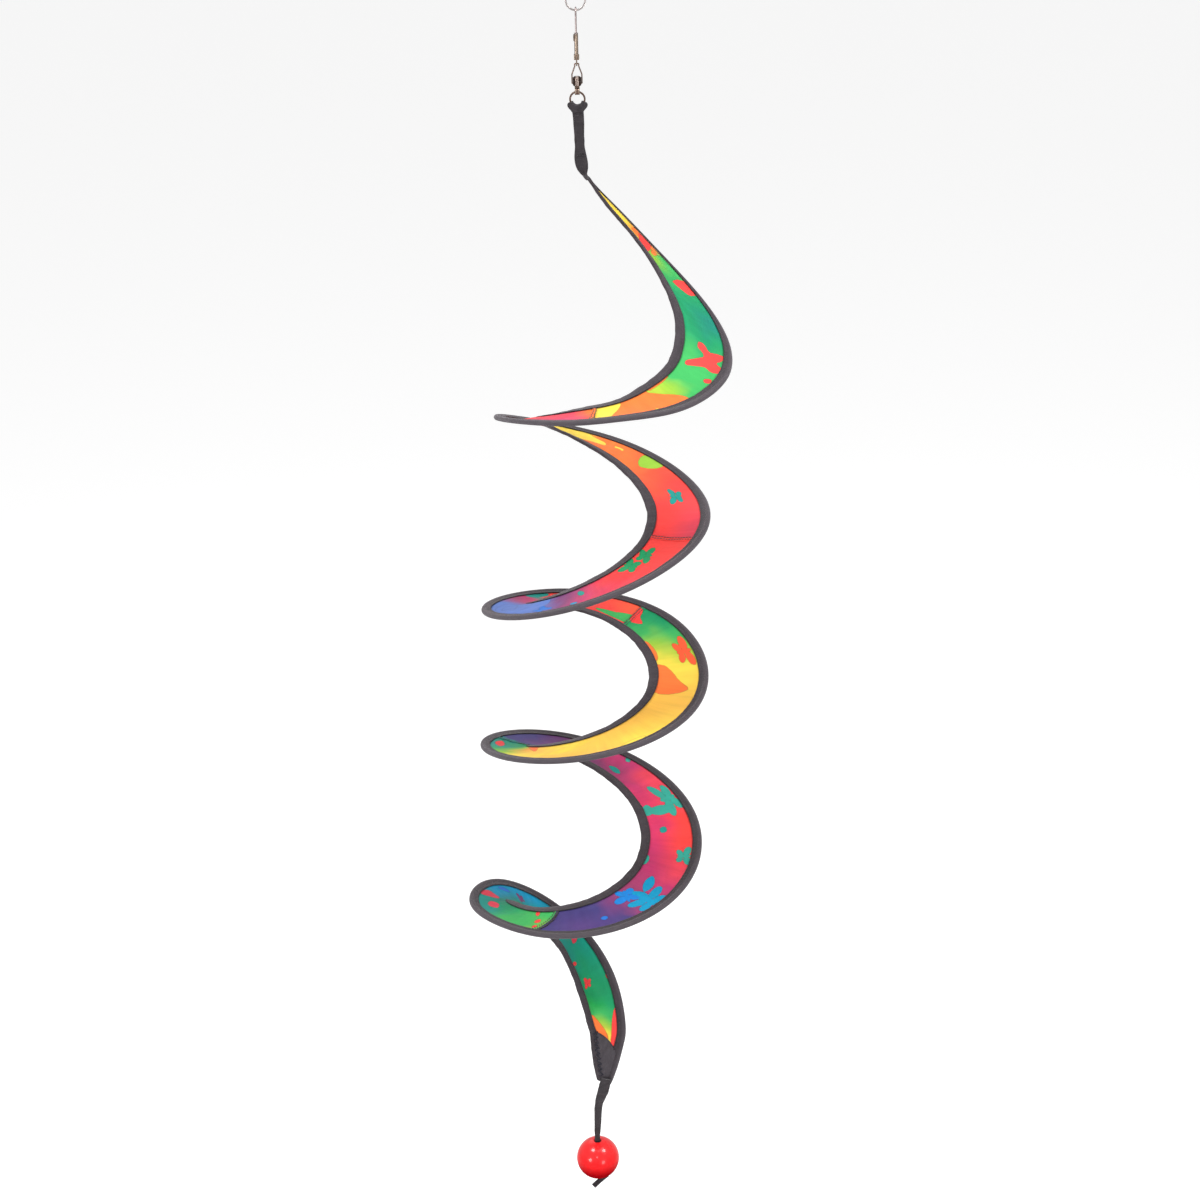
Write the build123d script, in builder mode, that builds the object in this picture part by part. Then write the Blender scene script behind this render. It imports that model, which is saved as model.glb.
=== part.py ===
from build123d import *
import os
import numpy as np
from math import sin, cos, radians

# Hanging spiral wind spinner, millimetres, +Z up.
# Origin: centre of the hanging ring at the very top; everything hangs below it
# along -Z.  Both split rings and the swivel bail lie in the XZ plane, the safety
# snap in the YZ plane.  A cloth band with bound edges coils down to a tail tape
# that carries a bead and ends in a knot.

os.makedirs("parts", exist_ok=True)

# ---------------------------------------------------------------- split rings
hang_ring_r = 5.75          # mean radius of the hanging ring
lower_ring_r = 4.35         # mean radius of the ring below the swivel
lower_ring_z = -57.50
ring_radial = 1.10          # radial width of the wire
ring_turn = 0.52            # axial thickness of one turn
ring_pitch = 0.57           # axial pitch of the turns
ring_turns = 2
ring_corner_r = 0.18        # rounded corners of the wire section

# ---------------------------------------------------------------- safety snap
snap_wire_r = 0.50
snap_bow_z = -7.30          # centre of the top bow
snap_bow_r = 3.00           # wire-centre radius of the bow
snap_strand_y = snap_bow_r  # the strands run straight down from the bow
snap_strand_depth = 1.50    # fixed strand below the clasp's channel
snap_gate_top = -8.80       # pivot height of the gate arm
snap_gate_bottom = -27.50   # free end of the gate arm
snap_bow_overlap = 0.20     # bow end stops this far above the gate's top
gate_tip_height = 1.50      # bent tip of the gate arm
gate_tip_y = 0.90           # how far the tip leans towards the middle

clasp_top = -19.20          # top edge of the folded sheet clasp
clasp_bottom = -31.00       # lower end of the open channel
clasp_half_y = 3.90
clasp_half_x = 1.15
clasp_sheet = 0.35
clasp_neck = 3.00           # height of the taper from channel to lug
strand_bore_slack = -0.02   # the bore is tighter than the wire
strand_bore_bottom = clasp_bottom - 1.60
strand_bore_depth = 2.20
window_y = 0.20             # window in the +X wall
window_drop = 5.60          # its centre, below the clasp's top edge
window_height = 6.40
window_width = 3.00

lug_top = clasp_bottom - clasp_neck
lug_z = -36.00              # eye that carries the swivel
lug_r = 2.00
lug_hole_r = 1.10
lug_thick = 0.80

# ---------------------------------------------------------------- swivel
play = 0.05                 # clearance of bail and stem

barrel_r = 2.50
barrel_wall = 0.45
barrel_top = -44.00
barrel_bottom = -49.60
barrel_flange = 0.50        # thickness of the inward flange at the bottom
shoulder_width = 0.90       # slope round the barrel's top, outside
shoulder_height = 0.70
inner_shoulder_width = 0.60
inner_shoulder_depth = 0.90  # lower end of the inside slope, below the barrel's top
foot_chamfer = 0.40         # slope round the barrel's bottom

bail_r = 0.40               # wire radius
bail_top = lug_z - lug_hole_r + bail_r + play   # wire centre, over the eye's lower rim
bail_bend = 1.20            # half width of the bail at its top
bail_neck_z = bail_top - bail_bend - 0.35       # where the legs start to spread
bail_spread_z = -42.90      # where the legs run straight again
bail_leg_x = barrel_r + bail_r + play
bail_hook_z = -48.20
bail_hook_depth = 0.25      # how far the hooks enter the barrel
bail_corner_r = 0.42
bail_hole_slack = 0.04

stem_r = 0.70
stem_head_r = 1.60
stem_head_thick = 0.60
stem_eye_z = -52.75
stem_eye_r = 2.20
stem_eye_hole_r = 1.35
stem_eye_thick = 1.50
stem_eye_fillet = 0.30
stem_shaft_overlap = 0.60   # how far the shaft reaches into the eye's disc

stack_gap = 0.02            # between flange, balls, race and stem head
ball_r = 0.40
ball_circle = 1.45
ball_count = 8
race_thick = 0.35
race_outer_gap = 0.10
race_inner_gap = 0.03

# The bearing stacks up from the flange.
ball_z = barrel_bottom + barrel_flange + ball_r + stack_gap
race_z = ball_z + ball_r + stack_gap
head_z = race_z + race_thick + stack_gap

# ---------------------------------------------------------------- hanger tape
sleeve_bore_r = 0.98        # cavity round the lower ring
sleeve_r = 1.40
sleeve_angle = 112.0        # how far the tape wraps along the ring

# Sections down the tape: centre x, y, z, size along x, size along y.
HANGER_TAPE = [
    (0.0, 0.0, lower_ring_z - lower_ring_r - 0.9, 5.6, 2.3),
    (0.4, 0.0, -66.5, 5.9, 1.7),
    (0.8, 0.0, -75.0, 6.2, 1.6),
    (1.2, 0.1, -87.0, 5.5, 1.7),
    (1.7, 0.4, -94.0, 7.2, 2.6),
    (2.4, 1.0, -99.5, 5.2, 3.0),
    (3.3, 2.4, -103.9, 2.6, 2.0),
]

# ---------------------------------------------------------------- band sections
binding_w = 6.0             # folded edge tape, greatest width on the band
binding_share = 0.47        # greatest share of the band's width it covers
binding_half = 0.74         # half thickness of the folded tape
slot_half = 0.42            # half gap between its two layers
nose_r = 1.42               # outer radius of the tape round the spreader rod
leg_min = 0.15              # least length of the outer tape past the nose
nose_lip = 0.02             # small steps where the nose meets the legs
rod_r = 0.75                # spreader rod
rod_clear = 0.26
rod_sides = 8
channel_r = 1.10 * (rod_r + rod_clear)  # corners of the channel round the rod
fold_outer = 0.45           # sloped corner at the inner tape's fold
fold_inner = 0.55           # slot end to fold
fold_half = 0.30            # half height of the flat on the fold
panel_half = 0.15           # half thickness of the spinner cloth
patch_half = panel_half + 0.04
panel_inset_outer = 3.00    # cloth edge, from the outer edge of the band
panel_inset_inner = 1.10    # cloth edge, from the inner edge of the band
seam_gap = 0.12             # half distance between neighbouring panels

# Spans and seams, in degrees along the spiral.
strip_start, strip_end = -75.0, 1457.0
rod_start, rod_end = -56.0, 1424.0
panel_start, panel_end = -62.0, 1407.0
patch_start, patch_end = 1409.0, 1455.0
seams = (100.0, 385.4, 658.0, 920.0, 1193.0)

coil_step = 7.5             # section spacing along the coils
fine_step = 5.0             # section spacing near both tapered ends
fine_top = 120.0            # fine spacing up to this angle
fine_low = 1245.0           # and again from this one
station_margin = 1.6        # shared sections nearer to an end are left out

# ---------------------------------------------------------------- tail
bead_x = -0.8
bead_z = -817.0
bead_r = 15.25
bead_bore_r = 2.50
bead_fillet = 0.8
knot_r = 3.00
knot_z = -834.3
knot_y = 1.2                # the knot sits a little to +Y of the bore

# Loose end: flat strip that runs from here through the knot, towards -X and down.
loose_end_start = (4.2, 1.6, -834.0)
loose_end_width_dir = (0.61, -0.30, -0.682)
loose_end_dir = (-0.765, -0.109, -0.636)
loose_end_w = 3.7
loose_end_thick = 1.2
loose_end_length = 10.4

# Sections down the tape: centre x, y, z, size along x, size along y.
TAIL_TAPE = [
    (3.0, -3.0, -757.6, 6.2, 1.2),
    (1.2, -2.0, -764.0, 5.8, 1.2),
    (-0.2, -1.0, -772.0, 5.4, 1.3),
    (-1.0, -0.2, -786.0, 4.6, 1.5),
    (bead_x, 0.0, -799.0, 4.0, 1.7),
    (bead_x, 0.0, -816.0, 4.0, 1.7),
    (bead_x, 0.0, knot_z + knot_r + 0.15, 4.0, 1.7),
]

# ---------------------------------------------------------------- spiral band
# Station angle, outer edge x, y, z, inner edge x, y, z.  The angle runs down
# the spiral; the band leaves the axis at the top, coils four times and closes
# near the axis again at the bottom.
BAND = [
    ( -83.0,    3.7,    3.0,  -104.9,    2.9,    1.3,  -103.9),
    ( -76.0,    5.6,    7.7,  -106.2,    3.1,    2.9,  -103.2),
    ( -64.0,   10.6,   15.4,  -113.9,    7.1,    8.7,  -109.7),
    ( -50.0,   24.1,   25.2,  -130.2,   16.4,   15.9,  -125.0),
    ( -33.0,   48.5,   29.6,  -158.2,   33.4,   19.8,  -146.6),
    ( -15.0,   75.7,   19.5,  -187.3,   48.8,   12.3,  -170.4),
    (   0.0,   89.6,    1.3,  -206.4,   56.6,    1.1,  -188.1),
    (  15.0,   91.3,  -19.6,  -219.1,   57.2,  -11.0,  -202.4),
    (  30.0,   83.3,  -37.5,  -226.2,   53.1,  -21.3,  -212.9),
    (  45.0,   70.4,  -52.2,  -230.6,   45.7,  -29.6,  -219.3),
    (  60.0,   54.7,  -63.6,  -232.9,   36.5,  -35.7,  -224.5),
    (  75.0,   37.1,  -70.8,  -233.5,   26.7,  -40.0,  -229.6),
    (  90.0,   18.1,  -73.7,  -234.4,   16.0,  -41.7,  -233.4),
    ( 105.0,   -1.3,  -71.7,  -236.5,    5.0,  -40.1,  -236.2),
    ( 135.0,  -34.9,  -51.8,  -241.6,  -14.0,  -28.3,  -243.9),
    ( 165.0,  -53.9,  -18.6,  -249.3,  -24.5,   -9.8,  -252.7),
    ( 195.0,  -53.8,   18.3,  -259.9,  -24.4,    9.4,  -262.3),
    ( 225.0,  -35.7,   48.9,  -272.5,  -15.4,   24.2,  -272.5),
    ( 255.0,   -5.5,   65.7,  -284.5,   -1.2,   31.6,  -283.3),
    ( 285.0,   28.6,   65.7,  -295.5,   14.8,   31.5,  -294.4),
    ( 315.0,   58.8,   48.8,  -307.1,   29.1,   23.5,  -305.7),
    ( 345.0,   76.9,   18.2,  -317.0,   38.0,    8.8,  -316.8),
    ( 375.0,   77.0,  -18.5,  -324.3,   38.1,   -9.0,  -327.2),
    ( 405.0,   58.1,  -51.6,  -332.9,   28.7,  -25.3,  -336.5),
    ( 435.0,   24.6,  -71.5,  -344.7,   12.2,  -35.2,  -346.1),
    ( 465.0,  -14.0,  -71.6,  -357.8,   -6.8,  -35.4,  -356.4),
    ( 495.0,  -47.3,  -52.4,  -370.0,  -23.3,  -25.9,  -366.9),
    ( 525.0,  -66.4,  -19.1,  -380.5,  -32.7,   -9.5,  -377.0),
    ( 555.0,  -66.4,   19.1,  -389.2,  -32.7,    9.5,  -386.1),
    ( 585.0,  -47.3,   52.1,  -396.3,  -23.2,   26.0,  -394.2),
    ( 615.0,  -14.3,   71.1,  -401.9,   -6.7,   35.5,  -402.2),
    ( 645.0,   23.6,   71.2,  -407.6,   12.3,   35.6,  -410.5),
    ( 675.0,   56.6,   52.3,  -415.2,   28.7,   26.2,  -419.8),
    ( 705.0,   75.8,   19.3,  -426.7,   38.3,    9.7,  -429.5),
    ( 735.0,   75.8,  -19.4,  -438.1,   38.3,   -9.7,  -438.1),
    ( 765.0,   56.4,  -53.3,  -446.3,   28.6,  -26.8,  -445.7),
    ( 795.0,   22.3,  -73.1,  -453.4,   11.4,  -36.9,  -453.6),
    ( 825.0,  -17.2,  -73.1,  -460.4,   -8.7,  -36.8,  -462.1),
    ( 855.0,  -51.2,  -53.3,  -468.1,  -26.0,  -26.6,  -471.1),
    ( 885.0,  -70.6,  -19.4,  -477.2,  -35.6,   -9.6,  -480.7),
    ( 915.0,  -70.6,   19.3,  -487.5,  -35.6,    9.4,  -490.8),
    ( 945.0,  -51.3,   52.3,  -498.9,  -26.1,   25.2,  -501.4),
    ( 975.0,  -18.4,   71.1,  -511.0,  -10.6,   33.9,  -512.5),
    (1005.0,   19.2,   71.3,  -523.9,    6.7,   34.0,  -524.2),
    (1035.0,   51.9,   52.9,  -537.0,   22.1,   26.0,  -536.2),
    (1065.0,   71.4,   19.7,  -550.3,   31.7,   10.0,  -548.2),
    (1095.0,   71.5,  -20.1,  -563.0,   31.7,  -10.5,  -559.5),
    (1125.0,   51.6,  -55.8,  -573.5,   20.7,  -30.0,  -568.8),
    (1155.0,   15.4,  -77.3,  -581.2,    0.5,  -42.5,  -576.5),
    (1185.0,  -28.0,  -76.8,  -586.3,  -22.5,  -42.7,  -583.3),
    (1215.0,  -65.0,  -53.1,  -589.3,  -42.3,  -31.3,  -590.1),
    (1245.0,  -84.1,  -17.9,  -592.4,  -53.8,  -11.4,  -597.6),
    (1282.5,  -67.7,   29.3,  -602.9,  -48.7,    4.1,  -613.8),
    (1305.0,  -42.6,   45.6,  -621.7,  -39.2,   13.2,  -631.3),
    (1327.5,  -17.4,   49.3,  -644.6,  -26.3,   17.4,  -651.0),
    (1350.0,    3.0,   42.9,  -668.1,  -17.4,   17.2,  -671.8),
    (1372.5,   15.8,   30.9,  -692.2,  -11.1,   15.6,  -693.3),
    (1397.0,   20.6,   16.4,  -716.6,   -5.9,   12.2,  -714.1),
    (1417.5,   18.9,    6.6,  -725.5,   -4.6,   10.2,  -721.1),
    (1440.0,   13.7,    0.0,  -741.6,   -2.5,   -0.2,  -737.1),
    (1462.5,    8.0,   -2.1,  -755.3,    0.6,   -4.3,  -750.7),
]


def natural_spline(knots, points):
    """Natural cubic spline through the rows of points at the given knots."""
    knots = np.asarray(knots, float)
    points = np.asarray(points, float)
    count = len(knots)
    gaps = np.diff(knots)
    matrix = np.zeros((count, count))
    rhs = np.zeros((count, points.shape[1]))
    matrix[0, 0] = matrix[-1, -1] = 1.0
    for i in range(1, count - 1):
        before, after = gaps[i - 1], gaps[i]
        matrix[i, i - 1] = before
        matrix[i, i] = 2.0 * (before + after)
        matrix[i, i + 1] = after
        slope_before = (points[i] - points[i - 1]) / before
        slope_after = (points[i + 1] - points[i]) / after
        rhs[i] = 6.0 * (slope_after - slope_before)
    curvature = np.linalg.solve(matrix, rhs)

    def value(at):
        i = int(np.clip(np.searchsorted(knots, at) - 1, 0, count - 2))
        gap = gaps[i]
        to_next, from_last = knots[i + 1] - at, at - knots[i]
        return (
            curvature[i] * to_next**3 / (6 * gap)
            + curvature[i + 1] * from_last**3 / (6 * gap)
            + (points[i] / gap - curvature[i] * gap / 6) * to_next
            + (points[i + 1] / gap - curvature[i + 1] * gap / 6) * from_last
        )

    return value


band_edges = natural_spline([row[0] for row in BAND], [row[1:] for row in BAND])


def band_travel(angle):
    """Vector the band's centreline covers in one degree round this angle."""
    change = band_edges(angle + 0.5) - band_edges(angle - 0.5)
    return (change[:3] + change[3:]) / 2


def band_plane(angle):
    """Section plane of the band: origin on the outer edge, x towards the inner
    edge, y along the upper normal.  Returns the plane and the band's width."""
    both = band_edges(angle)
    outer, inner = both[:3], both[3:]
    width = float(np.linalg.norm(inner - outer))
    x_dir = (inner - outer) / width
    normal = np.cross(x_dir, band_travel(angle))
    normal /= np.linalg.norm(normal)
    if normal[2] < 0:
        normal = -normal
    z_dir = np.cross(x_dir, normal)
    return Plane(origin=tuple(outer), x_dir=tuple(x_dir), z_dir=tuple(z_dir)), width


def section_angles():
    """Section angles shared by every piece of the band."""
    top = list(np.arange(fine_top, strip_start - 1e-6, -fine_step))[::-1]
    middle = list(np.arange(fine_top + coil_step, fine_low - 1e-6, coil_step))
    low = list(np.arange(fine_low, strip_end + 1e-6, fine_step))
    return [float(angle) for angle in top + middle + low]


def stations(start, end):
    """The shared section angles between start and end, with both ends."""
    first, last = start + station_margin, end - station_margin
    return [start] + [angle for angle in section_angles() if first < angle < last] + [end]


def binding_width(width):
    return min(binding_w, binding_share * width)


def outer_binding_points(width):
    """Folded tape with a round nose that holds the spreader rod."""
    leg = max(binding_width(width), 2 * nose_r + leg_min)
    nose_end = 2 * nose_r
    slot_start = nose_end - nose_lip

    def arc(radius, angles):
        return [
            (nose_r + radius * cos(radians(angle)), radius * sin(radians(angle)))
            for angle in angles
        ]

    return [
        (leg, binding_half),
        (nose_end, binding_half + nose_lip),
        *arc(nose_r, (68, 112, 156, 204, 248, 292)),
        (nose_end, -binding_half - nose_lip),
        (leg, -binding_half),
        (leg, -slot_half),
        (slot_start, -slot_half),
        *arc(channel_r, (-42, -90, -150, 150, 90, 42)),
        (slot_start, slot_half),
        (leg, slot_half),
    ]


def inner_binding_points(width):
    """Folded tape without a rod, open towards the cloth."""
    mouth = width - binding_width(width)
    return [
        (mouth, binding_half),
        (width - fold_outer, binding_half),
        (width, fold_half),
        (width, -fold_half),
        (width - fold_outer, -binding_half),
        (mouth, -binding_half),
        (mouth, -slot_half),
        (width - fold_inner, -slot_half),
        (width - fold_inner, slot_half),
        (mouth, slot_half),
    ]


def panel_points(width, half=panel_half):
    return [
        (panel_inset_outer, half),
        (panel_inset_outer, -half),
        (width - panel_inset_inner, -half),
        (width - panel_inset_inner, half),
    ]


def patch_points(width):
    return panel_points(width, patch_half)


def save(builder, name):
    builder.part.label = name
    export_step(builder.part, "parts/" + name + ".step")


def start_plane(path, **directions):
    """Plane across the start of a path."""
    return Plane(origin=path.line @ 0, z_dir=path.line % 0, **directions)


def build_split_ring(name, radius, centre_z):
    """Split ring with its axis along Y."""
    with BuildPart() as ring:
        with BuildLine() as coil:
            Helix(
                pitch=ring_pitch,
                height=ring_turns * ring_pitch,
                radius=radius,
                center=(0, -ring_pitch, centre_z),
                direction=(0, 1, 0),
            )
        with BuildSketch(start_plane(coil, x_dir=(0, 1, 0))):
            RectangleRounded(ring_turn, ring_radial, ring_corner_r)
        sweep(is_frenet=True)
    save(ring, name)


def build_band_piece(name, start, end, profile):
    """Loft a profile, given as a function of the band's width, along the band."""
    with BuildPart() as piece:
        for angle in stations(start, end):
            plane, width = band_plane(angle)
            with BuildSketch(plane):
                with BuildLine():
                    Polyline(*profile(width), close=True)
                make_face()
        loft()
    save(piece, name)


# ================================================================ split rings
build_split_ring("hang_ring", hang_ring_r, 0)
build_split_ring("lower_ring", lower_ring_r, lower_ring_z)

# ================================================================ safety snap
# fixed strand and bow of the spring wire
with BuildPart() as snap_wire:
    with BuildLine(Plane.YZ) as snap_path:
        Line((snap_strand_y, clasp_bottom - snap_strand_depth), (snap_bow_r, snap_bow_z))
        CenterArc((0, snap_bow_z), snap_bow_r, 0, 180)
        Line((-snap_bow_r, snap_bow_z), (-snap_bow_r, snap_gate_top + snap_bow_overlap))
    with BuildSketch(start_plane(snap_path)):
        Circle(snap_wire_r)
    sweep()
save(snap_wire, "snap_wire")

# gate arm below the free end of the bow
with BuildPart() as snap_gate:
    with BuildLine(Plane.YZ) as gate_path:
        Polyline(
            (-snap_bow_r, snap_gate_top),
            (-snap_strand_y, snap_gate_bottom + gate_tip_height),
            (-snap_strand_y + gate_tip_y, snap_gate_bottom),
        )
    with BuildSketch(start_plane(gate_path)):
        Circle(snap_wire_r)
    sweep(transition=Transition.ROUND)
save(snap_gate, "snap_gate")

# clasp: flat channel over both strands, tapering to a lug with an eye below
with BuildPart() as snap_clasp:
    with BuildSketch(Plane.XY.offset(clasp_bottom)):
        SlotOverall(2 * clasp_half_y, 2 * clasp_half_x, rotation=90)
        SlotOverall(
            2 * (clasp_half_y - clasp_sheet),
            2 * (clasp_half_x - clasp_sheet),
            rotation=90,
            mode=Mode.SUBTRACT,
        )
    extrude(amount=clasp_top - clasp_bottom)
    # neck
    with BuildSketch(Plane.XY.offset(clasp_bottom)):
        SlotOverall(2 * clasp_half_y, 2 * clasp_half_x, rotation=90)
    with BuildSketch(Plane.XY.offset(lug_top)):
        SlotOverall(2 * lug_r, lug_thick, rotation=90)
    loft()
    # lug and its eye
    with BuildSketch(Plane.YZ.offset(-lug_thick / 2)):
        with Locations((0, lug_z)):
            Circle(lug_r)
        with Locations((0, (lug_z + lug_top) / 2)):
            Rectangle(2 * lug_r, lug_top - lug_z)
    extrude(amount=lug_thick)
    with BuildSketch(Plane.YZ.offset(-lug_thick)):
        with Locations((0, lug_z)):
            Circle(lug_hole_r)
    extrude(amount=2 * lug_thick, mode=Mode.SUBTRACT)
    # bore that grips the fixed strand
    with BuildSketch(Plane.XY.offset(strand_bore_bottom)):
        with Locations((0, snap_strand_y)):
            Circle(snap_wire_r + strand_bore_slack)
    extrude(amount=strand_bore_depth, mode=Mode.SUBTRACT)
    # window in the +X wall
    with BuildSketch(Plane.YZ):
        with Locations((window_y, clasp_top - window_drop)):
            SlotOverall(window_height, window_width, rotation=90)
    extrude(amount=2 * clasp_half_x, mode=Mode.SUBTRACT)
save(snap_clasp, "snap_clasp")

# ================================================================ swivel
# bail wire: bends through the clasp's eye and hooks into the barrel's sides
bail_left = [
    (-barrel_r + bail_hook_depth, bail_hook_z),
    (-bail_leg_x, bail_hook_z),
    (-bail_leg_x, bail_spread_z),
    (-bail_bend, bail_neck_z),
    (-bail_bend, bail_top),
]
bail_right = [(-x, z) for x, z in reversed(bail_left)]
with BuildPart() as swivel_bail:
    with BuildLine(Plane.XZ) as bail_path:
        FilletPolyline(*bail_left, *bail_right, radius=bail_corner_r)
    with BuildSketch(start_plane(bail_path)):
        Circle(bail_r)
    sweep(transition=Transition.ROUND)
save(swivel_bail, "swivel_bail")

# barrel: shell closed on top, inward flange below, two side holes
bore_r = barrel_r - barrel_wall
flange_hole_r = stem_r + play
flange_top = barrel_bottom + barrel_flange
with BuildPart() as swivel_barrel:
    with BuildSketch(Plane.XZ):
        with BuildLine():
            Polyline(
                (0, barrel_top),
                (barrel_r - shoulder_width, barrel_top),
                (barrel_r, barrel_top - shoulder_height),
                (barrel_r, barrel_bottom + foot_chamfer),
                (barrel_r - foot_chamfer, barrel_bottom),
                (flange_hole_r, barrel_bottom),
                (flange_hole_r, flange_top),
                (bore_r, flange_top),
                (bore_r, barrel_top - inner_shoulder_depth),
                (bore_r - inner_shoulder_width, barrel_top - barrel_wall),
                (0, barrel_top - barrel_wall),
                close=True,
            )
        make_face()
    revolve(axis=Axis.Z)
    with BuildSketch(Plane.YZ.offset(-barrel_r - 1)):
        with Locations((0, bail_hook_z)):
            Circle(bail_r + bail_hole_slack)
    extrude(amount=2 * barrel_r + 2, mode=Mode.SUBTRACT)
save(swivel_barrel, "swivel_barrel")

with BuildPart() as swivel_balls:
    with Locations((0, 0, ball_z)):
        with PolarLocations(ball_circle, ball_count):
            Sphere(ball_r)
save(swivel_balls, "swivel_balls")

with BuildPart() as swivel_race:
    with BuildSketch(Plane.XY.offset(race_z)):
        Circle(bore_r - race_outer_gap)
        Circle(stem_r + race_inner_gap, mode=Mode.SUBTRACT)
    extrude(amount=race_thick)
save(swivel_race, "swivel_race")

# stem: head above the race, shaft through the flange, eye below
shaft_bottom = stem_eye_z + stem_eye_r - stem_shaft_overlap
with BuildPart() as swivel_stem:
    with BuildSketch(Plane.XY.offset(shaft_bottom)):
        Circle(stem_r)
    extrude(amount=head_z + stem_head_thick - shaft_bottom)
    with BuildSketch(Plane.XY.offset(head_z)):
        Circle(stem_head_r)
    extrude(amount=stem_head_thick)
    with BuildSketch(Plane.YZ.offset(-stem_eye_thick / 2)):
        with Locations((0, stem_eye_z)):
            Circle(stem_eye_r)
    extrude(amount=stem_eye_thick)
    # only the rims of the eye's disc
    fillet(
        swivel_stem.edges().filter_by(GeomType.CIRCLE).filter_by(
            lambda edge: abs(edge.radius - stem_eye_r) < 1e-6
        ),
        radius=stem_eye_fillet,
    )
    with BuildSketch(Plane.YZ.offset(-stem_eye_thick)):
        with Locations((0, stem_eye_z)):
            Circle(stem_eye_hole_r)
    extrude(amount=2 * stem_eye_thick, mode=Mode.SUBTRACT)
save(swivel_stem, "swivel_stem")

# ================================================================ hanger tape
# sleeve round the bottom of the lower ring, tape below it
ring_axis = Axis((0, 0, lower_ring_z), (0, 1, 0))
sleeve_start = radians(-90 - sleeve_angle / 2)
out_x, out_z = cos(sleeve_start), sin(sleeve_start)
sleeve_plane = Plane(
    origin=(lower_ring_r * out_x, 0, lower_ring_z + lower_ring_r * out_z),
    x_dir=(out_x, 0, out_z),
    z_dir=(-out_z, 0, out_x),
)
with BuildPart() as hanger_tape:
    with BuildSketch(sleeve_plane):
        Circle(sleeve_r)
    revolve(axis=ring_axis, revolution_arc=-sleeve_angle)
    for x, y, z, size_x, size_y in HANGER_TAPE:
        with BuildSketch(Plane(origin=(x, y, z))):
            Rectangle(size_x, size_y)
    loft()
    # cavity for the ring
    with BuildSketch(Plane.XY.offset(lower_ring_z)):
        with Locations((lower_ring_r, 0)):
            Circle(sleeve_bore_r)
    revolve(axis=ring_axis, revolution_arc=360, mode=Mode.SUBTRACT)
save(hanger_tape, "hanger_tape")


# ================================================================ band
def gap_angle(angle):
    """Angle that leaves the seam gap on the centreline of the band."""
    return seam_gap / float(np.linalg.norm(band_travel(angle)))


# cloth panels, each drawn back from its seams by the seam gap
panel_starts = [panel_start] + [seam + gap_angle(seam) for seam in seams]
panel_ends = [seam - gap_angle(seam) for seam in seams] + [panel_end]
for number, (start, end) in enumerate(zip(panel_starts, panel_ends), 1):
    build_band_piece(f"panel_{number}", start, end, panel_points)

# thicker patch that closes the tapering lower end of the band
build_band_piece("end_patch", patch_start, patch_end, patch_points)

build_band_piece("outer_binding", strip_start, strip_end, outer_binding_points)
build_band_piece("inner_binding", strip_start, strip_end, inner_binding_points)

with BuildPart() as spreader_rod:
    for angle in stations(rod_start, rod_end):
        with BuildSketch(band_plane(angle)[0]):
            with Locations((nose_r, 0)):
                RegularPolygon(rod_r, rod_sides)
    loft()
save(spreader_rod, "spreader_rod")

# ================================================================ tail
with BuildPart() as tail_tape:
    for x, y, z, size_x, size_y in TAIL_TAPE:
        with BuildSketch(Plane(origin=(x, y, z))):
            Rectangle(size_x, size_y)
    loft()
save(tail_tape, "tail_tape")

with BuildPart() as tail_knot:
    with Locations((bead_x, knot_y, knot_z)):
        Sphere(knot_r)
    with BuildSketch(
        Plane(origin=loose_end_start, x_dir=loose_end_width_dir, z_dir=loose_end_dir)
    ):
        Rectangle(loose_end_w, loose_end_thick)
    extrude(amount=loose_end_length)
save(tail_knot, "tail_knot")

with BuildPart() as bead:
    with Locations((bead_x, 0, bead_z)):
        Sphere(bead_r)
    with BuildSketch(Plane(origin=(bead_x, 0, bead_z - bead_r - 1))):
        Circle(bead_bore_r)
    extrude(amount=2 * bead_r + 2, mode=Mode.SUBTRACT)
    fillet(bead.edges().filter_by(GeomType.CIRCLE), radius=bead_fillet)
save(bead, "bead")
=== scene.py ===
# Hanging wind spinner. A printed cloth band winds down in a spiral below a ring, snap hook and
# swivel, and ends in a tail strap with a red bead and a knot.
# z is up, the spiral turns clockwise about the z axis (seen from above), and the camera looks
# from -y. Lengths are in mm and become metres in build(). Angles are degrees down the spiral.
import math

import bpy
import numpy as np
from mathutils import Matrix, Vector


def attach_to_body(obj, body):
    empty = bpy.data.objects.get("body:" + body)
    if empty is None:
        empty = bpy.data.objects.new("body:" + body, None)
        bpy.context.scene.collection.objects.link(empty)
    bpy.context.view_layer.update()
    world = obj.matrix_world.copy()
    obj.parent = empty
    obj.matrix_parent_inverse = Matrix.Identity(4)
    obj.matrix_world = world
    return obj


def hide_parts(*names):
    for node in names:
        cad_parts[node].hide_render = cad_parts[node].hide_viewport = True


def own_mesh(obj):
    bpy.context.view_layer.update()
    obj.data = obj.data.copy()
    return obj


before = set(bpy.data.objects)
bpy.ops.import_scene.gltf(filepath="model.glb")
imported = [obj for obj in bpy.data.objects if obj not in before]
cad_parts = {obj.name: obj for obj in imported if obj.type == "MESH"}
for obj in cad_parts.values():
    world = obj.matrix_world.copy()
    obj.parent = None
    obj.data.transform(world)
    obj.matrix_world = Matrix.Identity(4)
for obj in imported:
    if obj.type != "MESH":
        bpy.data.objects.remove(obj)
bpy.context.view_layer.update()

MM = 0.001

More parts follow.
